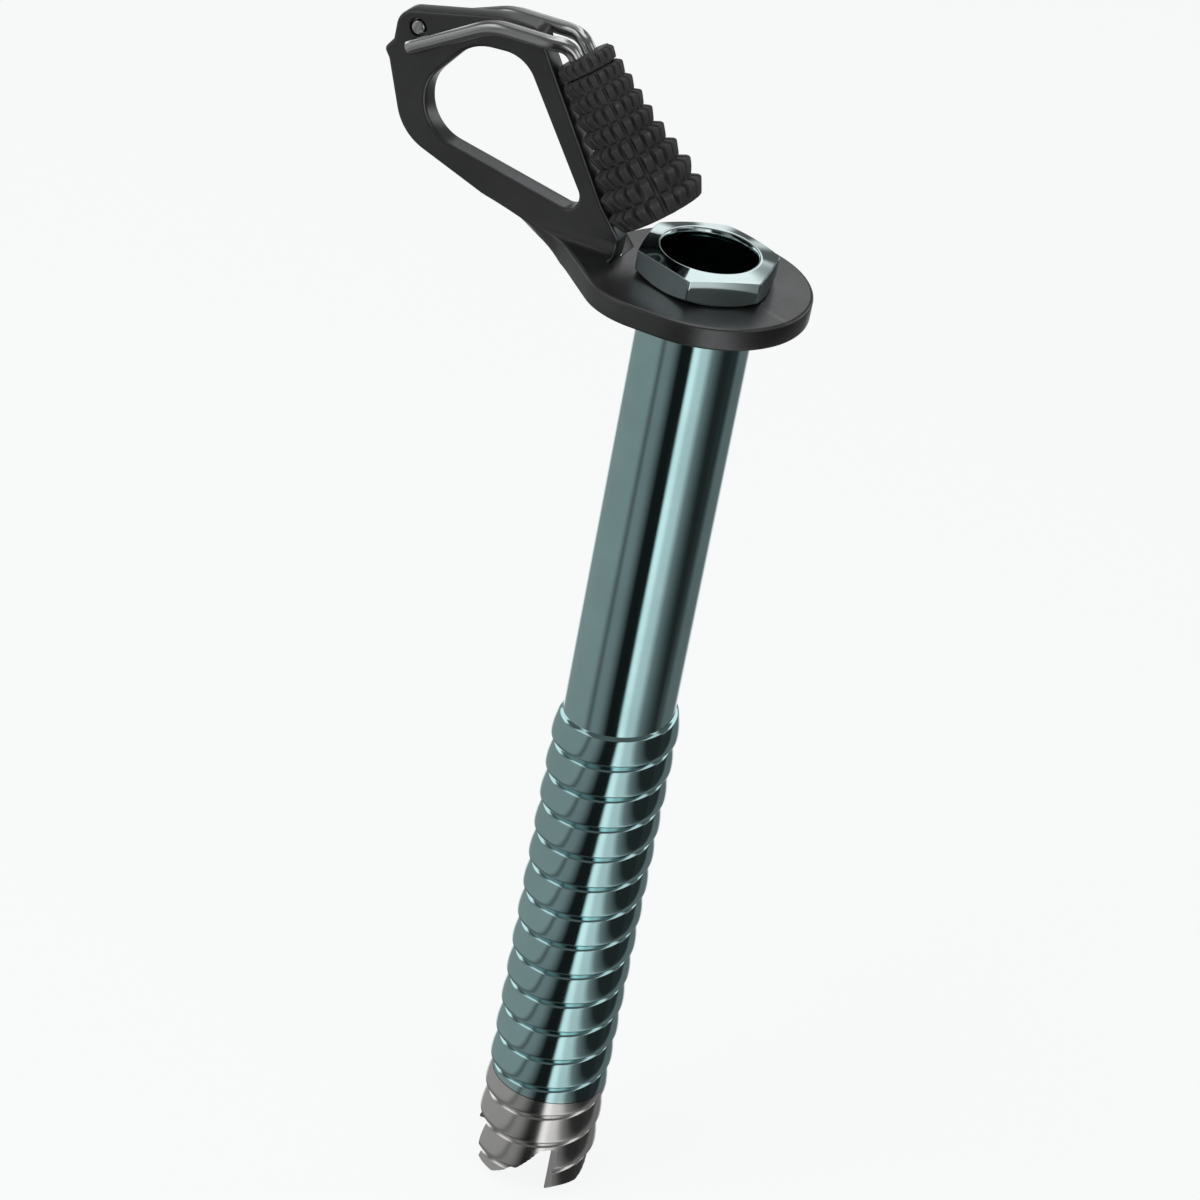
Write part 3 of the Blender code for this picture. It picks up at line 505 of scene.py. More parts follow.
def hanger_outlines():
    """Flat outline and openings of the plate, as (x, distance from the bend's line)."""
    seat = (0.0, BEND_LINE)
    relief_x = -EAR_SIDE + RELIEF
    top = limb_at(EAR_TOP - 2.5, KNOB_GAP)
    seat_low = BEND_LINE - SEAT_R
    flank_x = -0.585 * SEAT_R
    flank_foot = flank_x + seat_low
    under_left = ear_level(EAR_TOP - 22.9)
    left_foot = -EAR_REACH + 3.2
    under_x = (under_left + 0.344 * left_foot - flank_foot) / (0.344 - 1)
    top_width = top.x - 1.0 + EAR_REACH
    # Corners as (x, level, fillet radius), from under the seat round the ear to the relief beside it.
    corners = [
        (flank_x, seat_low, 12.0),
        (under_x, flank_foot - under_x, 15.0),
        (left_foot, under_left, 8.0),
        (-EAR_REACH - 0.5, ear_level(EAR_TOP - 12.2), 0.0),
        (-EAR_REACH - 1.47, ear_level(EAR_TOP - 10.8), 0.85),
        (-EAR_REACH - 0.2, ear_level(EAR_TOP - 9.0), 0.0),
        (-EAR_REACH, ear_level(EAR_TOP - 4.3), 3.0),
        (-EAR_REACH + 0.75 * top_width, ear_level(EAR_TOP), 0.9 * top_width),
        (top.x - 1.0, ear_level(EAR_TOP), 2.0),
        (top.x, ear_level(top.y), 2.0),
        (widest.x, ear_level(widest.y), 6.0),
        (-EAR_SIDE, slot_level, 0.0),
        (-EAR_SIDE, -RELIEF, 0.0),
        (relief_x, -RELIEF, 0.0),
        (relief_x, slot_level, 0.0),
    ]
    start = Vector((relief_x, slot_level - BEND_LINE))
    along = -down
    reach = -start.dot(along) + math.sqrt(start.dot(along) ** 2 + SEAT_R ** 2 - start.length_squared)
    meeting = start + along * reach
    across = math.degrees(math.atan2(meeting.y, meeting.x))
    disc = arc(seat, SEAT_R - 0.04, across, -90, 90)
    outline = rounded([(*disc[-1], 0.0)] + corners)[1:]
    outline = list(reversed(outline + disc))
    hole = arc(seat, NECK_R + GAP, 0, 360, 96)[:-1]
    low_right = limb_at(EAR_TOP - 26.2, 3.1)
    high_right = limb_at(EAR_TOP - 4.9, 4.0)
    eye_left = -EAR_REACH + 5.9
    eye_width = high_right.x - eye_left
    eye = rounded([
        (eye_left + 0.9, ear_level(EAR_TOP - 21.1), 6.5),
        (low_right.x, ear_level(low_right.y), 2.1),
        (high_right.x, ear_level(high_right.y), min(5.5, 0.38 * eye_width)),
        (eye_left + 0.43 * eye_width, ear_level(EAR_TOP - 5.6), min(7.0, 0.48 * eye_width)),
        (eye_left, ear_level(EAR_TOP - 13.6), 6.0),
    ])
    wire_hole = arc((PIVOT[0], ear_level(PIVOT[1])), WIRE_R + GAP, 0, 360, 40)[:-1]
    return outline, [hole, eye, wire_hole]


def hanger(metal):
    levels = [bend_length * k / BEND_STEPS for k in range(BEND_STEPS + 1)]
    outer, holes = hanger_outlines()
    widths = [0.5, 0.3, 0.5, 0.2]
    loops, rims = [], []
    for loop, width in zip([outer] + holes, widths):
        if signed_area(loop) * (1 if loop is outer else -1) < 0:
            loop = list(reversed(loop))
        full, full_rim = split_at_levels(loop, inset(loop, width), levels)
        loops.append(full)
        rims.append(full_rim)
    points = [point for rim in rims for point in rim]
    edges = []
    crossing = {k: [] for k in range(len(levels))}
    first = 0
    for loop in loops:
        for i, point in enumerate(loop):
            edges.append((first + i, first + (i + 1) % len(loop)))
            for k, lev in enumerate(levels):
                if abs(point.y - lev) < 1e-6 and on_ear_side(*point):
                    crossing[k].append((point.x, first + i))
        first += len(loop)
    for found in crossing.values():
        found.sort()
        edges.extend((a[1], b[1]) for a, b in zip(found[::2], found[1::2]))
    flat, _, triangles, _, _, _ = delaunay_2d_cdt(points, edges, [], 0, 1e-7)
    mesh_data = bmesh.new()
    low = [mesh_data.verts.new(fold(p.x, p.y, 0.0)) for p in flat]
    high = [mesh_data.verts.new(fold(p.x, p.y, PLATE)) for p in flat]
    for triangle in triangles:
        middle = sum((flat[i] for i in triangle), Vector((0.0, 0.0))) / 3
        if inside(middle, rims[0]) and not any(inside(middle, rim) for rim in rims[1:]):
            mesh_data.faces.new([low[i] for i in reversed(triangle)])
            mesh_data.faces.new([high[i] for i in triangle])
    crisp = []
    first = 0
    steps = 4
    for loop, rim, width in zip(loops, rims, widths):
        count = len(loop)
        turns = [math.pi / 2 * k / steps for k in range(1, steps + 1)]
        shape = [(1 - math.sin(a), width * (1 - math.cos(a))) for a in turns]
        shape += [(s, PLATE - w) for s, w in reversed(shape)]
        rows = [low[first:first + count]]
        for share, w in shape:
            row = []
            for a, b in zip(loop, rim):
                spot = a.lerp(b, share)
                row.append(mesh_data.verts.new(fold(spot.x, spot.y, w)))
            rows.append(row)
        rows.append(high[first:first + count])
        for lower, upper in zip(rows, rows[1:]):
            for i in range(count):
                j = (i + 1) % count
                mesh_data.faces.new((lower[i], lower[j], upper[j], upper[i]))
        for row in (rows[0], rows[-1]):
            crisp += [(row[i], row[(i + 1) % count]) for i in range(count)]
        first += count
    mesh_data.verts.index_update()
    wanted = {tuple(sorted((a.index, b.index))) for a, b in crisp}
    obj = add_object("hanger_shell", mesh_data, metal, sharp=50)
    for edge in obj.data.edges:
        if tuple(sorted(edge.vertices)) in wanted:
            edge.use_edge_sharp = True
    return obj


# Crank wire
def wire_path(points_2d, radii, step=6.0):
    path = [Vector(points_2d[0])]
    for i in range(1, len(points_2d) - 1):
        trio = [(*points_2d[i - 1], 0), (*points_2d[i], radii[i - 1]), (*points_2d[i + 1], 0)]
        path.extend(rounded(trio, step)[1:-1])
    path.append(Vector(points_2d[-1]))
    return path


def leg_points(end_x, end_z, side):
    """One leg of the wire, from its end at the ear into the knob. The side is -1 in front and 1 behind."""
    run_z = wire_end.y + 1.7
    bend_in = wire_end + down * (run_z - wire_end.y) / down.y
    shoulder = (wire_end.x - 13.0, run_z - 0.4)
    deep = wire_end + down * LOOP_DEPTH
    flat = wire_path([(end_x, end_z), shoulder, tuple(bend_in), tuple(deep)], [10.0, 3.0])
    dense = []
    for a, b in zip(flat, flat[1:]):
        pieces = max(1, round((b - a).length / 1.0))
        dense.extend(a.lerp(b, k / pieces) for k in range(pieces))
    dense.append(flat[-1])
    points = []
    start = wire_end.x - 4.6
    for point in dense:
        depth = (point - wire_end).dot(down)
        if depth < 0:
            offset = mix(leg_offset, LOOP_HALF + 0.5, smooth_step(start, wire_end.x, point.x))
        else:
            offset = LOOP_HALF + 0.5 * max(0.0, 1 - depth / ring_edge(1))
        points.append(Vector((point.x, middle_y + side * offset, point.y)))
    return points


def closed_end(steps):
    """Points round the wire's closed end in the knob, between the two legs."""
    centre = wire_end + down * LOOP_DEPTH
    points = []
    for k in range(1, steps):
        a = math.pi * k / steps
        spot = centre + down * LOOP_HALF * math.sin(a)
        points.append(Vector((spot.x, middle_y - LOOP_HALF * math.cos(a), spot.y)))
    return points


def sweep(points, radius, sides=28, round_ends=0.25):
    """Round bar along the points, with its two ends rounded off."""
    rings = []
    side = None
    count = len(points)
    for i, here in enumerate(points):
        before = (here - points[i - 1]).normalized() if i else None
        after = (points[i + 1] - here).normalized() if i + 1 < count else None
        along = ((before or after) + (after or before)).normalized()
        side = side or along.orthogonal().normalized()
        side = (side - along * side.dot(along)).normalized()
        up = along.cross(side)
        stages = [(1.0, 0.0)]
        if i == 0:
            stages = [(0.75, 0.0), (0.93, 0.08), (1.0, round_ends)]
        elif i == count - 1:
            stages = [(1.0, -round_ends), (0.93, -0.08), (0.75, 0.0)]
        for shrink, move in stages:
            ring = []
            for k in range(sides):
                a = 2 * math.pi * k / sides
                ring.append(here + along * move + (side * math.cos(a) + up * math.sin(a)) * radius * shrink)
            rings.append(ring)
    mesh_data = bmesh.new()
    bridge(mesh_data, rings)
    return mesh_data


def crank_wire(steel):
    front = leg_points(*FOOT, -1)
    back = leg_points(*PIVOT, 1)
    corner = back[0]
    onward = (back[1] - corner).normalized()
    middle = corner + onward * ELBOW_R + Vector((0, -ELBOW_R, 0))
    elbow = []
    for k in range(9):
        a = math.pi / 2 * k / 8
        elbow.append(middle - onward * ELBOW_R * math.sin(a) + Vector((0, ELBOW_R * math.cos(a), 0)))
    tail = Vector((corner.x, front_y, corner.z))
    rest = [point for point in reversed(back[1:]) if (point - corner).length > ELBOW_R + 0.3]
    points = front + closed_end(12) + rest + elbow + [tail]
    return add_object("wire_shell", sweep(points, WIRE_R - 0.005), steel, sharp=50)


# Knob
def stud_rows(first_ring, last_ring, start, end):
    """Rows of (depth, crest radius, groove radius): each ring flares out quickly and then tapers in."""
    rows = []
    for ring in range(first_ring, last_ring):
        begin = max(start, ring_edge(ring))
        finish = min(end, ring_edge(ring + 1))
        span = ring_edge(ring + 1) - ring_edge(ring)
        for share, lift in ((0.0, 0.0), (0.04, 0.08), (0.21, 0.84), (0.25, 0.95), (0.29, 1.0), (0.35, 0.99),
                            (0.50, 0.80), (0.70, 0.53), (0.90, 0.26), (0.97, 0.14), (0.99, 0.05)):
            depth = ring_edge(ring) + span * share
            depth = min(max(depth, begin), finish)
            radius = knob_radius(depth)
            deep = GROOVE_DEPTH * (0.4 + 0.6 * min(1.0, depth / KNOB_LENGTH / 0.7))
            rows.append((depth, radius - deep * (1 - lift), radius - deep * 1.02))
    kept = [rows[0]]
    for row in rows[1:]:
        if row[0] > kept[-1][0] + 1e-4:
            kept.append(row)
    return kept


def knob_rings(rows, inner_profile, per_groove=14):
    """Rings of the ribbed outside, grooved lengthwise, and then of the round inside."""
    columns = GROOVES * per_groove
    rings = []

    def ring_at(depth, radius_of):
        ring = []
        for i in range(columns):
            a = 2 * math.pi * i / columns
            r = radius_of((i % per_groove) / per_groove)
            ring.append(Vector((r * math.cos(a), r * math.sin(a), depth)))
        return ring

    for depth, crest, groove in rows:
        def radius_of(part, crest=crest, groove=groove):
            off_centre = min(part, 1 - part) * 2
            share = smooth_step(0.16, 0.44, off_centre)
            return mix(min(crest, groove), crest, share)
        rings.append(ring_at(depth, radius_of))
    for radius, depth in inner_profile:
        rings.append(ring_at(depth, lambda part, radius=radius: radius))
    return rings


def knob(plastic, rubber, steel):
    core_end = KNOB_LENGTH - 4.8
    screw_hole = SCREW_R + GAP
    bottom = LOOP_DEPTH + LOOP_HALF + WIRE_R + 0.9
    mesh_data = bmesh.new()
    rings = knob_rings(stud_rows(0, 1, 0.0, ring_edge(1) - GAP / 2),
                       ((CORE_R, ring_edge(1) - GAP / 2), (CORE_R, core_end)))
    bridge(mesh_data, rings)
    core = add_object("core_shell", down_knob(mesh_data), plastic)

    def near_knob(side):
        return [p for p in leg_points(*FOOT, side) if (p.xz - wire_end).dot(down) > -2.2]

    channel = near_knob(-1) + closed_end(8) + list(reversed(near_knob(1)))
    cut_wire = add_object("channel_cutter", sweep(channel, WIRE_R + CHANNEL_AIR, 20, 0.1))
    drill = lathe(((screw_hole, bottom), (screw_hole, KNOB_LENGTH)), 32, close=False)
    apply_cuts(core, [cut_wire, add_object("drill_cutter", down_knob(drill))], sharp=45)

    sleeve = CORE_R + GAP
    recess = WASHER_R + GAP
    start = ring_edge(1) + GAP / 2
    rows = stud_rows(1, RINGS, start, KNOB_LENGTH - 0.05)
    rim_r = rows[-1][1]
    rows += [(KNOB_LENGTH, rim_r - 0.25, rim_r - 0.35)]
    mesh_data = bmesh.new()
    rings = knob_rings(rows, ((recess + 0.2, KNOB_LENGTH), (recess, KNOB_LENGTH - 0.2), (recess, core_end),
                              (sleeve, core_end), (sleeve, start)))
    bridge(mesh_data, rings, cap=False, close=True)
    grip = add_object("grip_shell", down_knob(mesh_data), rubber)

    low = core_end + GAP
    high = low + WASHER_THICKNESS
    washer = add_object("washer_shell", down_knob(lathe((
        (screw_hole, low), (WASHER_R - 0.1, low), (WASHER_R, low + 0.1), (WASHER_R, high - 0.1),
        (WASHER_R - 0.1, high), (screw_hole + 0.1, high), (screw_hole, high - 0.1)), 72)), steel)
    seat = high + GAP
    head_r = SCREW_R * 2.1
    tip = bottom + GAP
    turns = [math.radians(degrees) for degrees in (0, 15, 30, 45, 60)]
    dome = [(head_r * math.cos(a), seat + 0.9 + 0.6 * math.sin(a)) for a in turns]
    body = [(SCREW_R * 0.6, tip), (SCREW_R, tip + 0.5), (SCREW_R, seat), (head_r, seat)] + dome
    screw = add_object("screw_shell", down_knob(lathe(body, 48, close=False)), steel)
    socket = bmesh.new()
    bridge(socket, [circle(SCREW_R, z, 6) for z in (seat + 0.5, seat + 3)])
    apply_cuts(screw, [add_object("socket_cutter", down_knob(socket))])
    return core, grip, washer, screw


# Materials
def new_group(name, inputs):
    """Node group with the given inputs that gives a colour, a roughness and a height."""
    group = bpy.data.node_groups.new(name, "ShaderNodeTree")
    for label, kind, value in inputs:
        made = group.interface.new_socket(label, in_out="INPUT", socket_type=kind)
        made.default_value = value
    for label, kind in (("Color", "Color"), ("Roughness", "Float"), ("Height", "Float")):
        group.interface.new_socket(label, in_out="OUTPUT", socket_type="NodeSocket" + kind)
    entry = group.nodes.new("NodeGroupInput")
    leave = group.nodes.new("NodeGroupOutput")
    return group, entry, leave


def node(tree, kind, **settings):
    made = tree.nodes.new(kind)
    for key, value in settings.items():
        if key in made.inputs:
            made.inputs[key].default_value = value
        else:
            setattr(made, key, value)
    return made


def noise(tree, coords, scale, detail, rough, stretch=(1, 1, 1)):
    mapping = node(tree, "ShaderNodeMapping")
    mapping.inputs["Scale"].default_value = stretch
    tree.links.new(coords, mapping.inputs["Vector"])
    made = node(tree, "ShaderNodeTexNoise", Scale=scale, Detail=detail, Roughness=rough)
    tree.links.new(mapping.outputs["Vector"], made.inputs["Vector"])
    return made.outputs["Fac"]


def ramp(tree, value, stops):
    """Map a range of the value to another: stops is ((from, to), (low, high))."""
    made = node(tree, "ShaderNodeMapRange")
    (a, b), (low, high) = stops
    made.inputs["From Min"].default_value = a
    made.inputs["From Max"].default_value = b
    made.inputs["To Min"].default_value = low
    made.inputs["To Max"].default_value = high
    tree.links.new(value, made.inputs["Value"])
    return made.outputs["Result"]


def maths(tree, operation, a, b):
    made = node(tree, "ShaderNodeMath", operation=operation)
    for slot, value in ((0, a), (1, b)):
        if isinstance(value, (int, float)):
            made.inputs[slot].default_value = value
        else:
            tree.links.new(value, made.inputs[slot])
    return made.outputs[0]


def tint(tree, factor, first, second):
    """Blend two colours: the factor 0 gives the first and 1 the second."""
    made = node(tree, "ShaderNodeMix", data_type="RGBA")
    for socket, value in ((6, first), (7, second)):
        if isinstance(value, tuple):
            made.inputs[socket].default_value = (*value, 1)
        else:
            tree.links.new(value, made.inputs[socket])
    tree.links.new(factor, made.inputs[0])
    return made.outputs[2]


def polished_group():
    """Fine marks along and across, faint clouding and rubbed edges of bright metal."""
    group, entry, leave = new_group("polished_metal", [
        ("Color", "NodeSocketColor", (0.5, 0.5, 0.5, 1)),
        ("Worn Color", "NodeSocketColor", (0.7, 0.7, 0.7, 1)),
        ("Roughness", "NodeSocketFloat", 0.1),
        ("Marks", "NodeSocketFloat", 0.3)])
    place = node(group, "ShaderNodeTexCoord").outputs["Object"]
    drawn = noise(group, place, scale=900, detail=4, rough=0.6, stretch=(1, 1, 0.05))
    rings = noise(group, place, scale=2600, detail=3, rough=0.5, stretch=(0.12, 0.12, 1))
    cloud = noise(group, place, scale=90, detail=4, rough=0.6)
    both = maths(group, "ADD", maths(group, "MULTIPLY", drawn, 0.5), maths(group, "MULTIPLY", rings, 0.5))
    marks = maths(group, "MULTIPLY", both, entry.outputs["Marks"])
    rough = maths(group, "ADD", entry.outputs["Roughness"],
                  maths(group, "MULTIPLY", maths(group, "SUBTRACT", cloud, 0.45), 0.10))
    rough = maths(group, "ADD", rough, maths(group, "MULTIPLY", marks, 0.10))
    group.links.new(maths(group, "MAXIMUM", rough, 0.03), leave.inputs["Roughness"])
    group.links.new(marks, leave.inputs["Height"])
    geometry = node(group, "ShaderNodeNewGeometry")
    worn = ramp(group, geometry.outputs["Pointiness"], ((0.525, 0.60), (0.0, 1.0)))
    spots = ramp(group, noise(group, place, scale=420, detail=5, rough=0.7), ((0.42, 0.62), (0.0, 1.0)))
    worn = maths(group, "MULTIPLY", worn, spots)
    shade = tint(group, worn, entry.outputs["Color"], entry.outputs["Worn Color"])
    dim = ramp(group, cloud, ((0.3, 0.7), (0.0, 0.12)))
    shade = tint(group, dim, shade, (0.02, 0.03, 0.035))
    group.links.new(shade, leave.inputs["Color"])
    return group


def grain_group():
    """Fine matte grain with soft clouding and pale rubbed edges, for coated plate, plastic and rubber."""
    group, entry, leave = new_group("matte_grain", [
        ("Color", "NodeSocketColor", (0.05, 0.05, 0.05, 1)),
        ("Worn Color", "NodeSocketColor", (0.1, 0.1, 0.1, 1)),
        ("Roughness", "NodeSocketFloat", 0.5),
        ("Grain", "NodeSocketFloat", 900.0)])
    place = node(group, "ShaderNodeTexCoord").outputs["Object"]
    fine = node(group, "ShaderNodeTexNoise", Detail=3.0, Roughness=0.6)
    group.links.new(place, fine.inputs["Vector"])
    group.links.new(entry.outputs["Grain"], fine.inputs["Scale"])
    cloud = noise(group, place, scale=70, detail=4, rough=0.6)
    rough = maths(group, "ADD", entry.outputs["Roughness"],
                  maths(group, "MULTIPLY", maths(group, "SUBTRACT", fine.outputs["Fac"], 0.5), 0.16))
    rough = maths(group, "ADD", rough, maths(group, "MULTIPLY", maths(group, "SUBTRACT", cloud, 0.5), 0.14))
    group.links.new(rough, leave.inputs["Roughness"])
    group.links.new(fine.outputs["Fac"], leave.inputs["Height"])
    geometry = node(group, "ShaderNodeNewGeometry")
    worn = ramp(group, geometry.outputs["Pointiness"], ((0.52, 0.62), (0.0, 1.0)))
    spots = ramp(group, noise(group, place, scale=350, detail=5, rough=0.7), ((0.38, 0.60), (0.15, 1.0)))
    worn = maths(group, "MULTIPLY", worn, spots)
    shade = tint(group, worn, entry.outputs["Color"], entry.outputs["Worn Color"])
    dim = ramp(group, cloud, ((0.3, 0.7), (0.0, 0.22)))
    shade = tint(group, dim, shade, (0.008, 0.008, 0.009))
    group.links.new(shade, leave.inputs["Color"])
    return group


polished = polished_group()
grain = grain_group()


def finish_material(name, group, settings, metallic, bump, distance):
    made = bpy.data.materials.new(name)
    made.use_nodes = True
    tree = made.node_tree
    shader = tree.nodes["Principled BSDF"]
    shader.inputs["Metallic"].default_value = metallic
    effect = node(tree, "ShaderNodeGroup", node_tree=group)
    for key, value in settings.items():
        effect.inputs[key].default_value = (*value, 1) if isinstance(value, tuple) else value
    tree.links.new(effect.outputs["Color"], shader.inputs["Base Color"])
    tree.links.new(effect.outputs["Roughness"], shader.inputs["Roughness"])
    relief = node(tree, "ShaderNodeBump", Strength=bump, Distance=distance)
    tree.links.new(effect.outputs["Height"], relief.inputs["Height"])
    tree.links.new(relief.outputs["Normal"], shader.inputs["Normal"])
    return made


tube_metal = finish_material("teal_tube", polished, {
    "Color": (0.56, 0.85, 0.865), "Worn Color": (0.75, 0.86, 0.86), "Roughness": 0.07, "Marks": 0.25},
    metallic=1.0, bump=0.06, distance=0.00002)
head_metal = finish_material("teal_head", polished, {
    "Color": (0.78, 0.93, 0.93), "Worn Color": (0.85, 0.92, 0.92), "Roughness": 0.05, "Marks": 0.3},
    metallic=1.0, bump=0.06, distance=0.00002)
tip_steel = finish_material("tip_steel", polished, {
    "Color": (0.95, 0.94, 0.925), "Worn Color": (0.96, 0.96, 0.96), "Roughness": 0.15, "Marks": 0.4},
    metallic=1.0, bump=0.06, distance=0.00002)
wire_steel = finish_material("wire_steel", polished, {
    "Color": (0.78, 0.79, 0.79), "Worn Color": (0.85, 0.85, 0.85), "Roughness": 0.16, "Marks": 0.5},
    metallic=1.0, bump=0.08, distance=0.00002)
fastener_steel = finish_material("fastener_steel", polished, {
    "Color": (0.55, 0.55, 0.54), "Worn Color": (0.7, 0.7, 0.7), "Roughness": 0.28, "Marks": 0.6},
    metallic=1.0, bump=0.1, distance=0.00002)
hanger_metal = finish_material("charcoal_plate", grain, {
    "Color": (0.150, 0.153, 0.156), "Worn Color": (0.27, 0.27, 0.275), "Roughness": 0.33, "Grain": 1800.0},
    metallic=0.96, bump=0.07, distance=0.00003)
knob_plastic = finish_material("knob_plastic", grain, {
    "Color": (0.024, 0.024, 0.025), "Worn Color": (0.05, 0.05, 0.05), "Roughness": 0.50, "Grain": 1500.0},
    metallic=0.0, bump=0.15, distance=0.00003)
knob_rubber = finish_material("knob_rubber", grain, {
    "Color": (0.021, 0.021, 0.022), "Worn Color": (0.06, 0.06, 0.06), "Roughness": 0.55, "Grain": 1500.0},
    metallic=0.0, bump=0.2, distance=0.00004)

# The object
tube, crown = tube_and_crown(tube_metal, tip_steel)
head = hex_head(head_metal)
plate = hanger(hanger_metal)
wire = crank_wire(wire_steel)
core, grip, washer, bolt = knob(knob_plastic, knob_rubber, fastener_steel)

for piece, body, stands_for, slot_name in (
        (tube, "screw", "screw_tube", "tube_metal"),
        (crown, "screw", "cutting_crown", "tip_steel"),
        (head, "screw", "hex_head", "head_metal"),
        (plate, "screw", "hanger", "hanger_metal"),
        (wire, "crank", "crank_wire", "wire_steel"),
        (core, "crank", "knob_core", "knob_plastic"),
        (washer, "crank", "knob_washer", "fastener_steel"),
        (bolt, "crank", "knob_screw", "fastener_steel"),
        (grip, "knob", "knob_grip", "knob_rubber")):
    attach(piece, body)
    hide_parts(stands_for)

# Floor, light and camera
WHITE = (0.945, 0.95, 0.955)
PART_MIDDLE = Vector((-0.02, 0, -0.03))


def grey(level):
    return (level, level, level)


def plain_white(name, ground):
    """Matte white that glows a share of its tone to the camera, so that a soft shadow is left."""
    made = bpy.data.materials.new(name)
    made.use_nodes = True
    tree = made.node_tree
    tree.nodes.clear()
    paint = node(tree, "ShaderNodeBsdfDiffuse", Color=(0.9, 0.9, 0.9, 1))
    glow = node(tree, "ShaderNodeEmission", Color=(*WHITE, 1), Strength=1.0)
    ray = node(tree, "ShaderNodeLightPath")
    share = maths(tree, "MULTIPLY", ray.outputs["Is Camera Ray"], ground)
    blend = node(tree, "ShaderNodeMixShader")
    out = node(tree, "ShaderNodeOutputMaterial")
    tree.links.new(share, blend.inputs[0])
    tree.links.new(paint.outputs[0], blend.inputs[1])
    tree.links.new(glow.outputs[0], blend.inputs[2])
    tree.links.new(blend.outputs[0], out.inputs[0])
    return made


floor_mesh = bmesh.new()
bmesh.ops.create_circle(floor_mesh, cap_ends=True, segments=96, radius=1500)
bmesh.ops.translate(floor_mesh, vec=(0, 0, -SCREW_LENGTH - 0.3), verts=floor_mesh.verts)
floor = add_object("floor", floor_mesh, plain_white("floor_white", 0.94), sharp=0)
floor.visible_glossy = False

# Reflections of the studio: upright light strips, grey cards and black flags. Each stop is the place from the
# camera's left (-1) to its right (1), and the brightness there.
IN_FRONT = [
    (-1, 0.28), (-0.8, 0.28), (-0.72, 0.1), (-0.64, 0.22), (-0.5, 0.2), (-0.25, 0.01), (0.06, 0.01),
    (0.15, 0.95), (0.25, 0.95), (0.35, 0.65), (0.52, 0.6), (0.65, 0.2), (0.85, 0.02)]
BEHIND = [
    (-1, 0.28), (-0.4, 0.28), (-0.27, 0.85), (0.27, 0.85), (0.4, 0.28), (0.5, 0.15), (0.8, 0.15),
    (0.86, 0.03)]
PATCHES = [
    (-1, 0.3), (-0.3, 0.1), (-0.16, 0.1), (-0.14, 0.9), (-0.11, 0.9), (-0.09, 0.1), (-0.04, 0.1),
    (-0.02, 0.9), (0.02, 0.9), (0.04, 0.1), (0.08, 0.1), (0.09, 0.7), (0.11, 0.7), (0.13, 0.1)]
ABOVE = [
    (-1, 0.3), (-0.25, 0.30), (-0.13, 0.40), (-0.10, 1.0), (0.165, 1.0), (0.185, 0.14), (0.22, 0.12),
    (1, 0.5)]
CAMERA_RIGHT = Vector((0.9438, 0.3305, 0))

# Borders between the panels, as (from, to) along one direction.
FRONT_EDGE = (-0.05, 0.05)
SIDE_EDGE = (0.45, 0.55)
GLINT_EDGE = (-0.34, -0.24)
BACK_LOW_EDGE = (-0.64, -0.58)
BACK_MIDDLE_EDGE = (-0.02, 0.04)
BACK_HIGH_EDGE = (0.37, 0.42)
FRONT_TOP_EDGE = (0.30, 0.50)
FRONT_TOP_SIDES = (0.66, 0.70)
CEILING_EDGE = (0.93, 0.97)
GROUND_EDGE = (-0.92, -0.80)
RISE = (0, 1)
FALL = (1, 0)

scene = bpy.context.scene
world = bpy.data.worlds.new("studio")
scene.world = world
world.use_nodes = True
sky = world.node_tree
sky.nodes.clear()
way = node(sky, "ShaderNodeTexCoord").outputs["Generated"]


def along(direction):
    made = node(sky, "ShaderNodeVectorMath", operation="DOT_PRODUCT")
    made.inputs[1].default_value = direction
    sky.links.new(way, made.inputs[0])
    return made.outputs["Value"]


def strips(table):
    """Brightness from a table of upright strips."""
    made = node(sky, "ShaderNodeValToRGB")
    stops = made.color_ramp.elements
    stops.remove(stops[-1])
    for i, (place, strength) in enumerate(table):
        stop = stops[0] if i == 0 else stops.new((place + 1) / 2)
        stop.position = (place + 1) / 2
        stop.color = (*grey(strength), 1)
    sky.links.new(ramp(sky, sideways, ((-1, 1), RISE)), made.inputs[0])
    return made.outputs[0]


sideways = along(CAMERA_RIGHT)
off_middle = maths(sky, "ABSOLUTE", sideways, 0.0)
forward = along(Vector((CAMERA_RIGHT.y, -CAMERA_RIGHT.x, 0)))
height = along(Vector((0, 0, 1)))
in_front = ramp(sky, forward, (FRONT_EDGE, RISE))
aside = ramp(sky, off_middle, (SIDE_EDGE, RISE))
glint = tint(sky, ramp(sky, forward, (GLINT_EDGE, RISE)), grey(0.95), grey(0.20))
low_back = tint(sky, aside, strips(PATCHES), glint)
upper_back = tint(sky, aside, strips(ABOVE), grey(0.10))
behind = tint(sky, ramp(sky, height, (BACK_LOW_EDGE, FALL)), strips(BEHIND), grey(0.15))
behind = tint(sky, ramp(sky, height, (BACK_MIDDLE_EDGE, RISE)), behind, low_back)
behind = tint(sky, ramp(sky, height, (BACK_HIGH_EDGE, RISE)), behind, upper_back)
gloss = tint(sky, in_front, behind, strips(IN_FRONT))
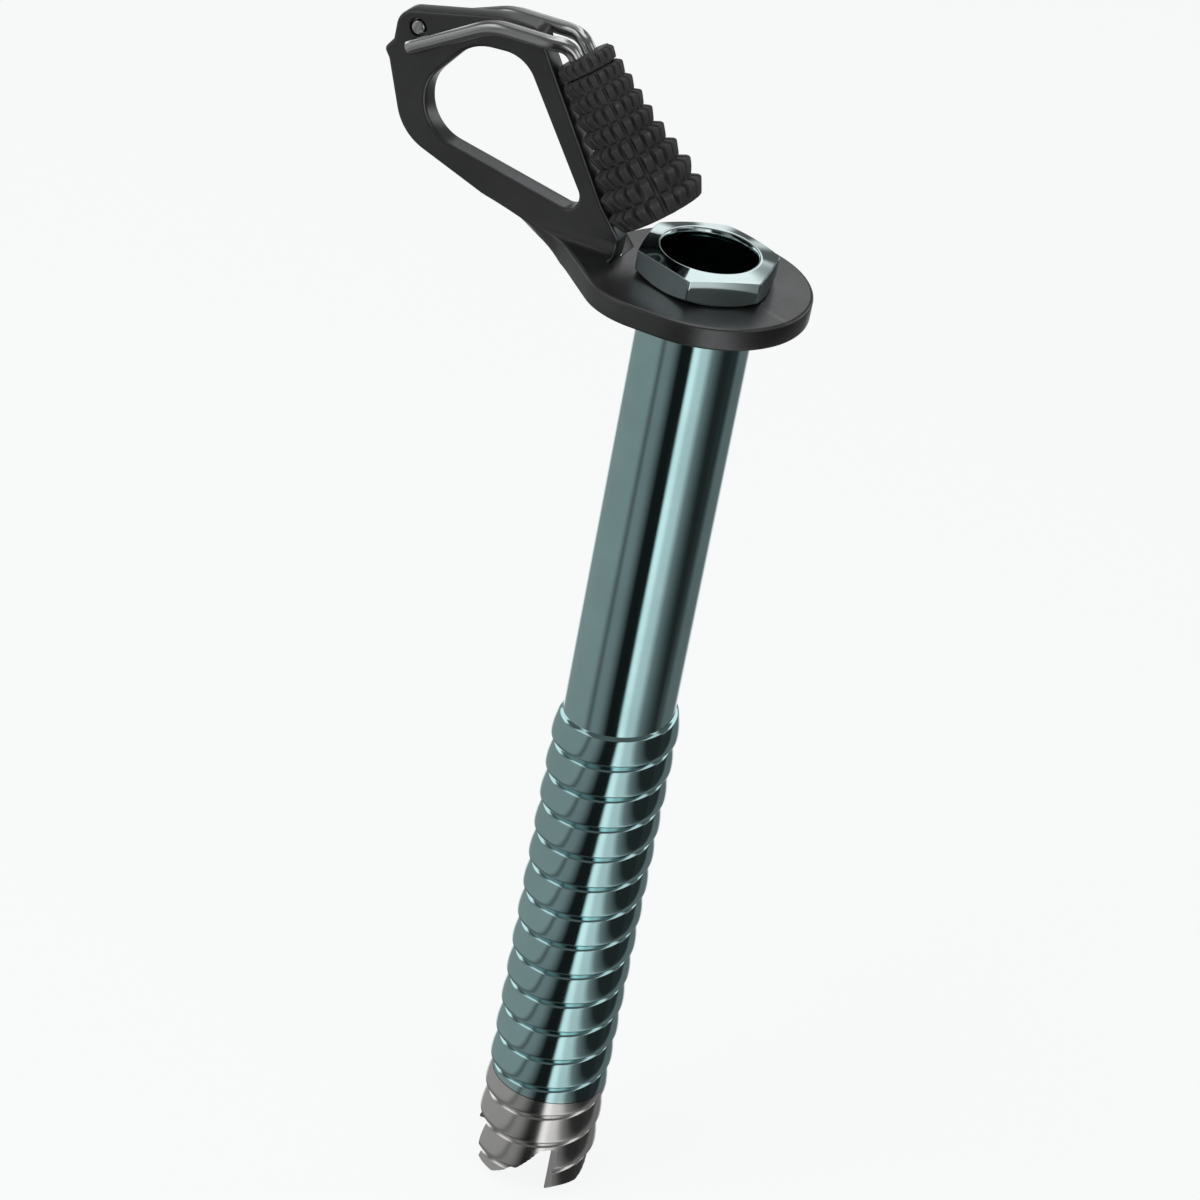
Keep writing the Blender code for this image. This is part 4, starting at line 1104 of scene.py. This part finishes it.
front_top = maths(sky, "MULTIPLY", in_front, ramp(sky, height, (FRONT_TOP_EDGE, RISE)))
front_glow = tint(sky, ramp(sky, off_middle, (FRONT_TOP_SIDES, RISE)), grey(0.10), grey(0.75))
gloss = tint(sky, front_top, gloss, front_glow)
gloss = tint(sky, ramp(sky, height, (CEILING_EDGE, RISE)), gloss, grey(0.95))
gloss = tint(sky, ramp(sky, height, (GROUND_EDGE, FALL)), gloss, grey(0.065))
ray = node(sky, "ShaderNodeLightPath")
soft = tint(sky, ray.outputs["Is Glossy Ray"], grey(0.55), gloss)
seen = tint(sky, ray.outputs["Is Camera Ray"], soft, WHITE)
light = node(sky, "ShaderNodeBackground", Strength=1.0)
sky.links.new(seen, light.inputs[0])
sky.links.new(light.outputs[0], node(sky, "ShaderNodeOutputWorld").inputs[0])


def soft_light(name, place, size, power):
    """Square lamp that looks at the part and lights matte surfaces only."""
    lamp = bpy.data.lights.new(name, "AREA")
    lamp.shape = "SQUARE"
    lamp.size = size
    lamp.energy = power
    obj = bpy.data.objects.new(name, lamp)
    obj.location = place
    obj.rotation_mode = "QUATERNION"
    obj.rotation_quaternion = (Vector(place) - PART_MIDDLE).to_track_quat("Z", "Y")
    obj.visible_glossy = False
    scene.collection.objects.link(obj)


soft_light("key_light", (-0.35, -0.45, 0.65), 0.5, 5.0)
soft_light("fill_light", (0.6, -0.4, 0.3), 0.6, 2.5)

# Fitted to the photograph: 30.6 degrees up, and 70.7 degrees round from +X towards -Y.
camera_data = bpy.data.cameras.new("camera")
camera_data.lens = 122.22
camera_data.sensor_width = 36
camera_data.clip_start = 0.01
camera_data.clip_end = 20
camera = bpy.data.objects.new("camera", camera_data)
camera.matrix_world = Matrix((
    (0.89007, -0.347981, 0.294421, 0.174794),
    (0.425993, 0.405197, -0.808916, -0.497844),
    (0.162189, 0.845414, 0.508891, 0.259269),
    (0, 0, 0, 1)))
scene.collection.objects.link(camera)
scene.camera = camera
scene.view_settings.view_transform = "Standard"
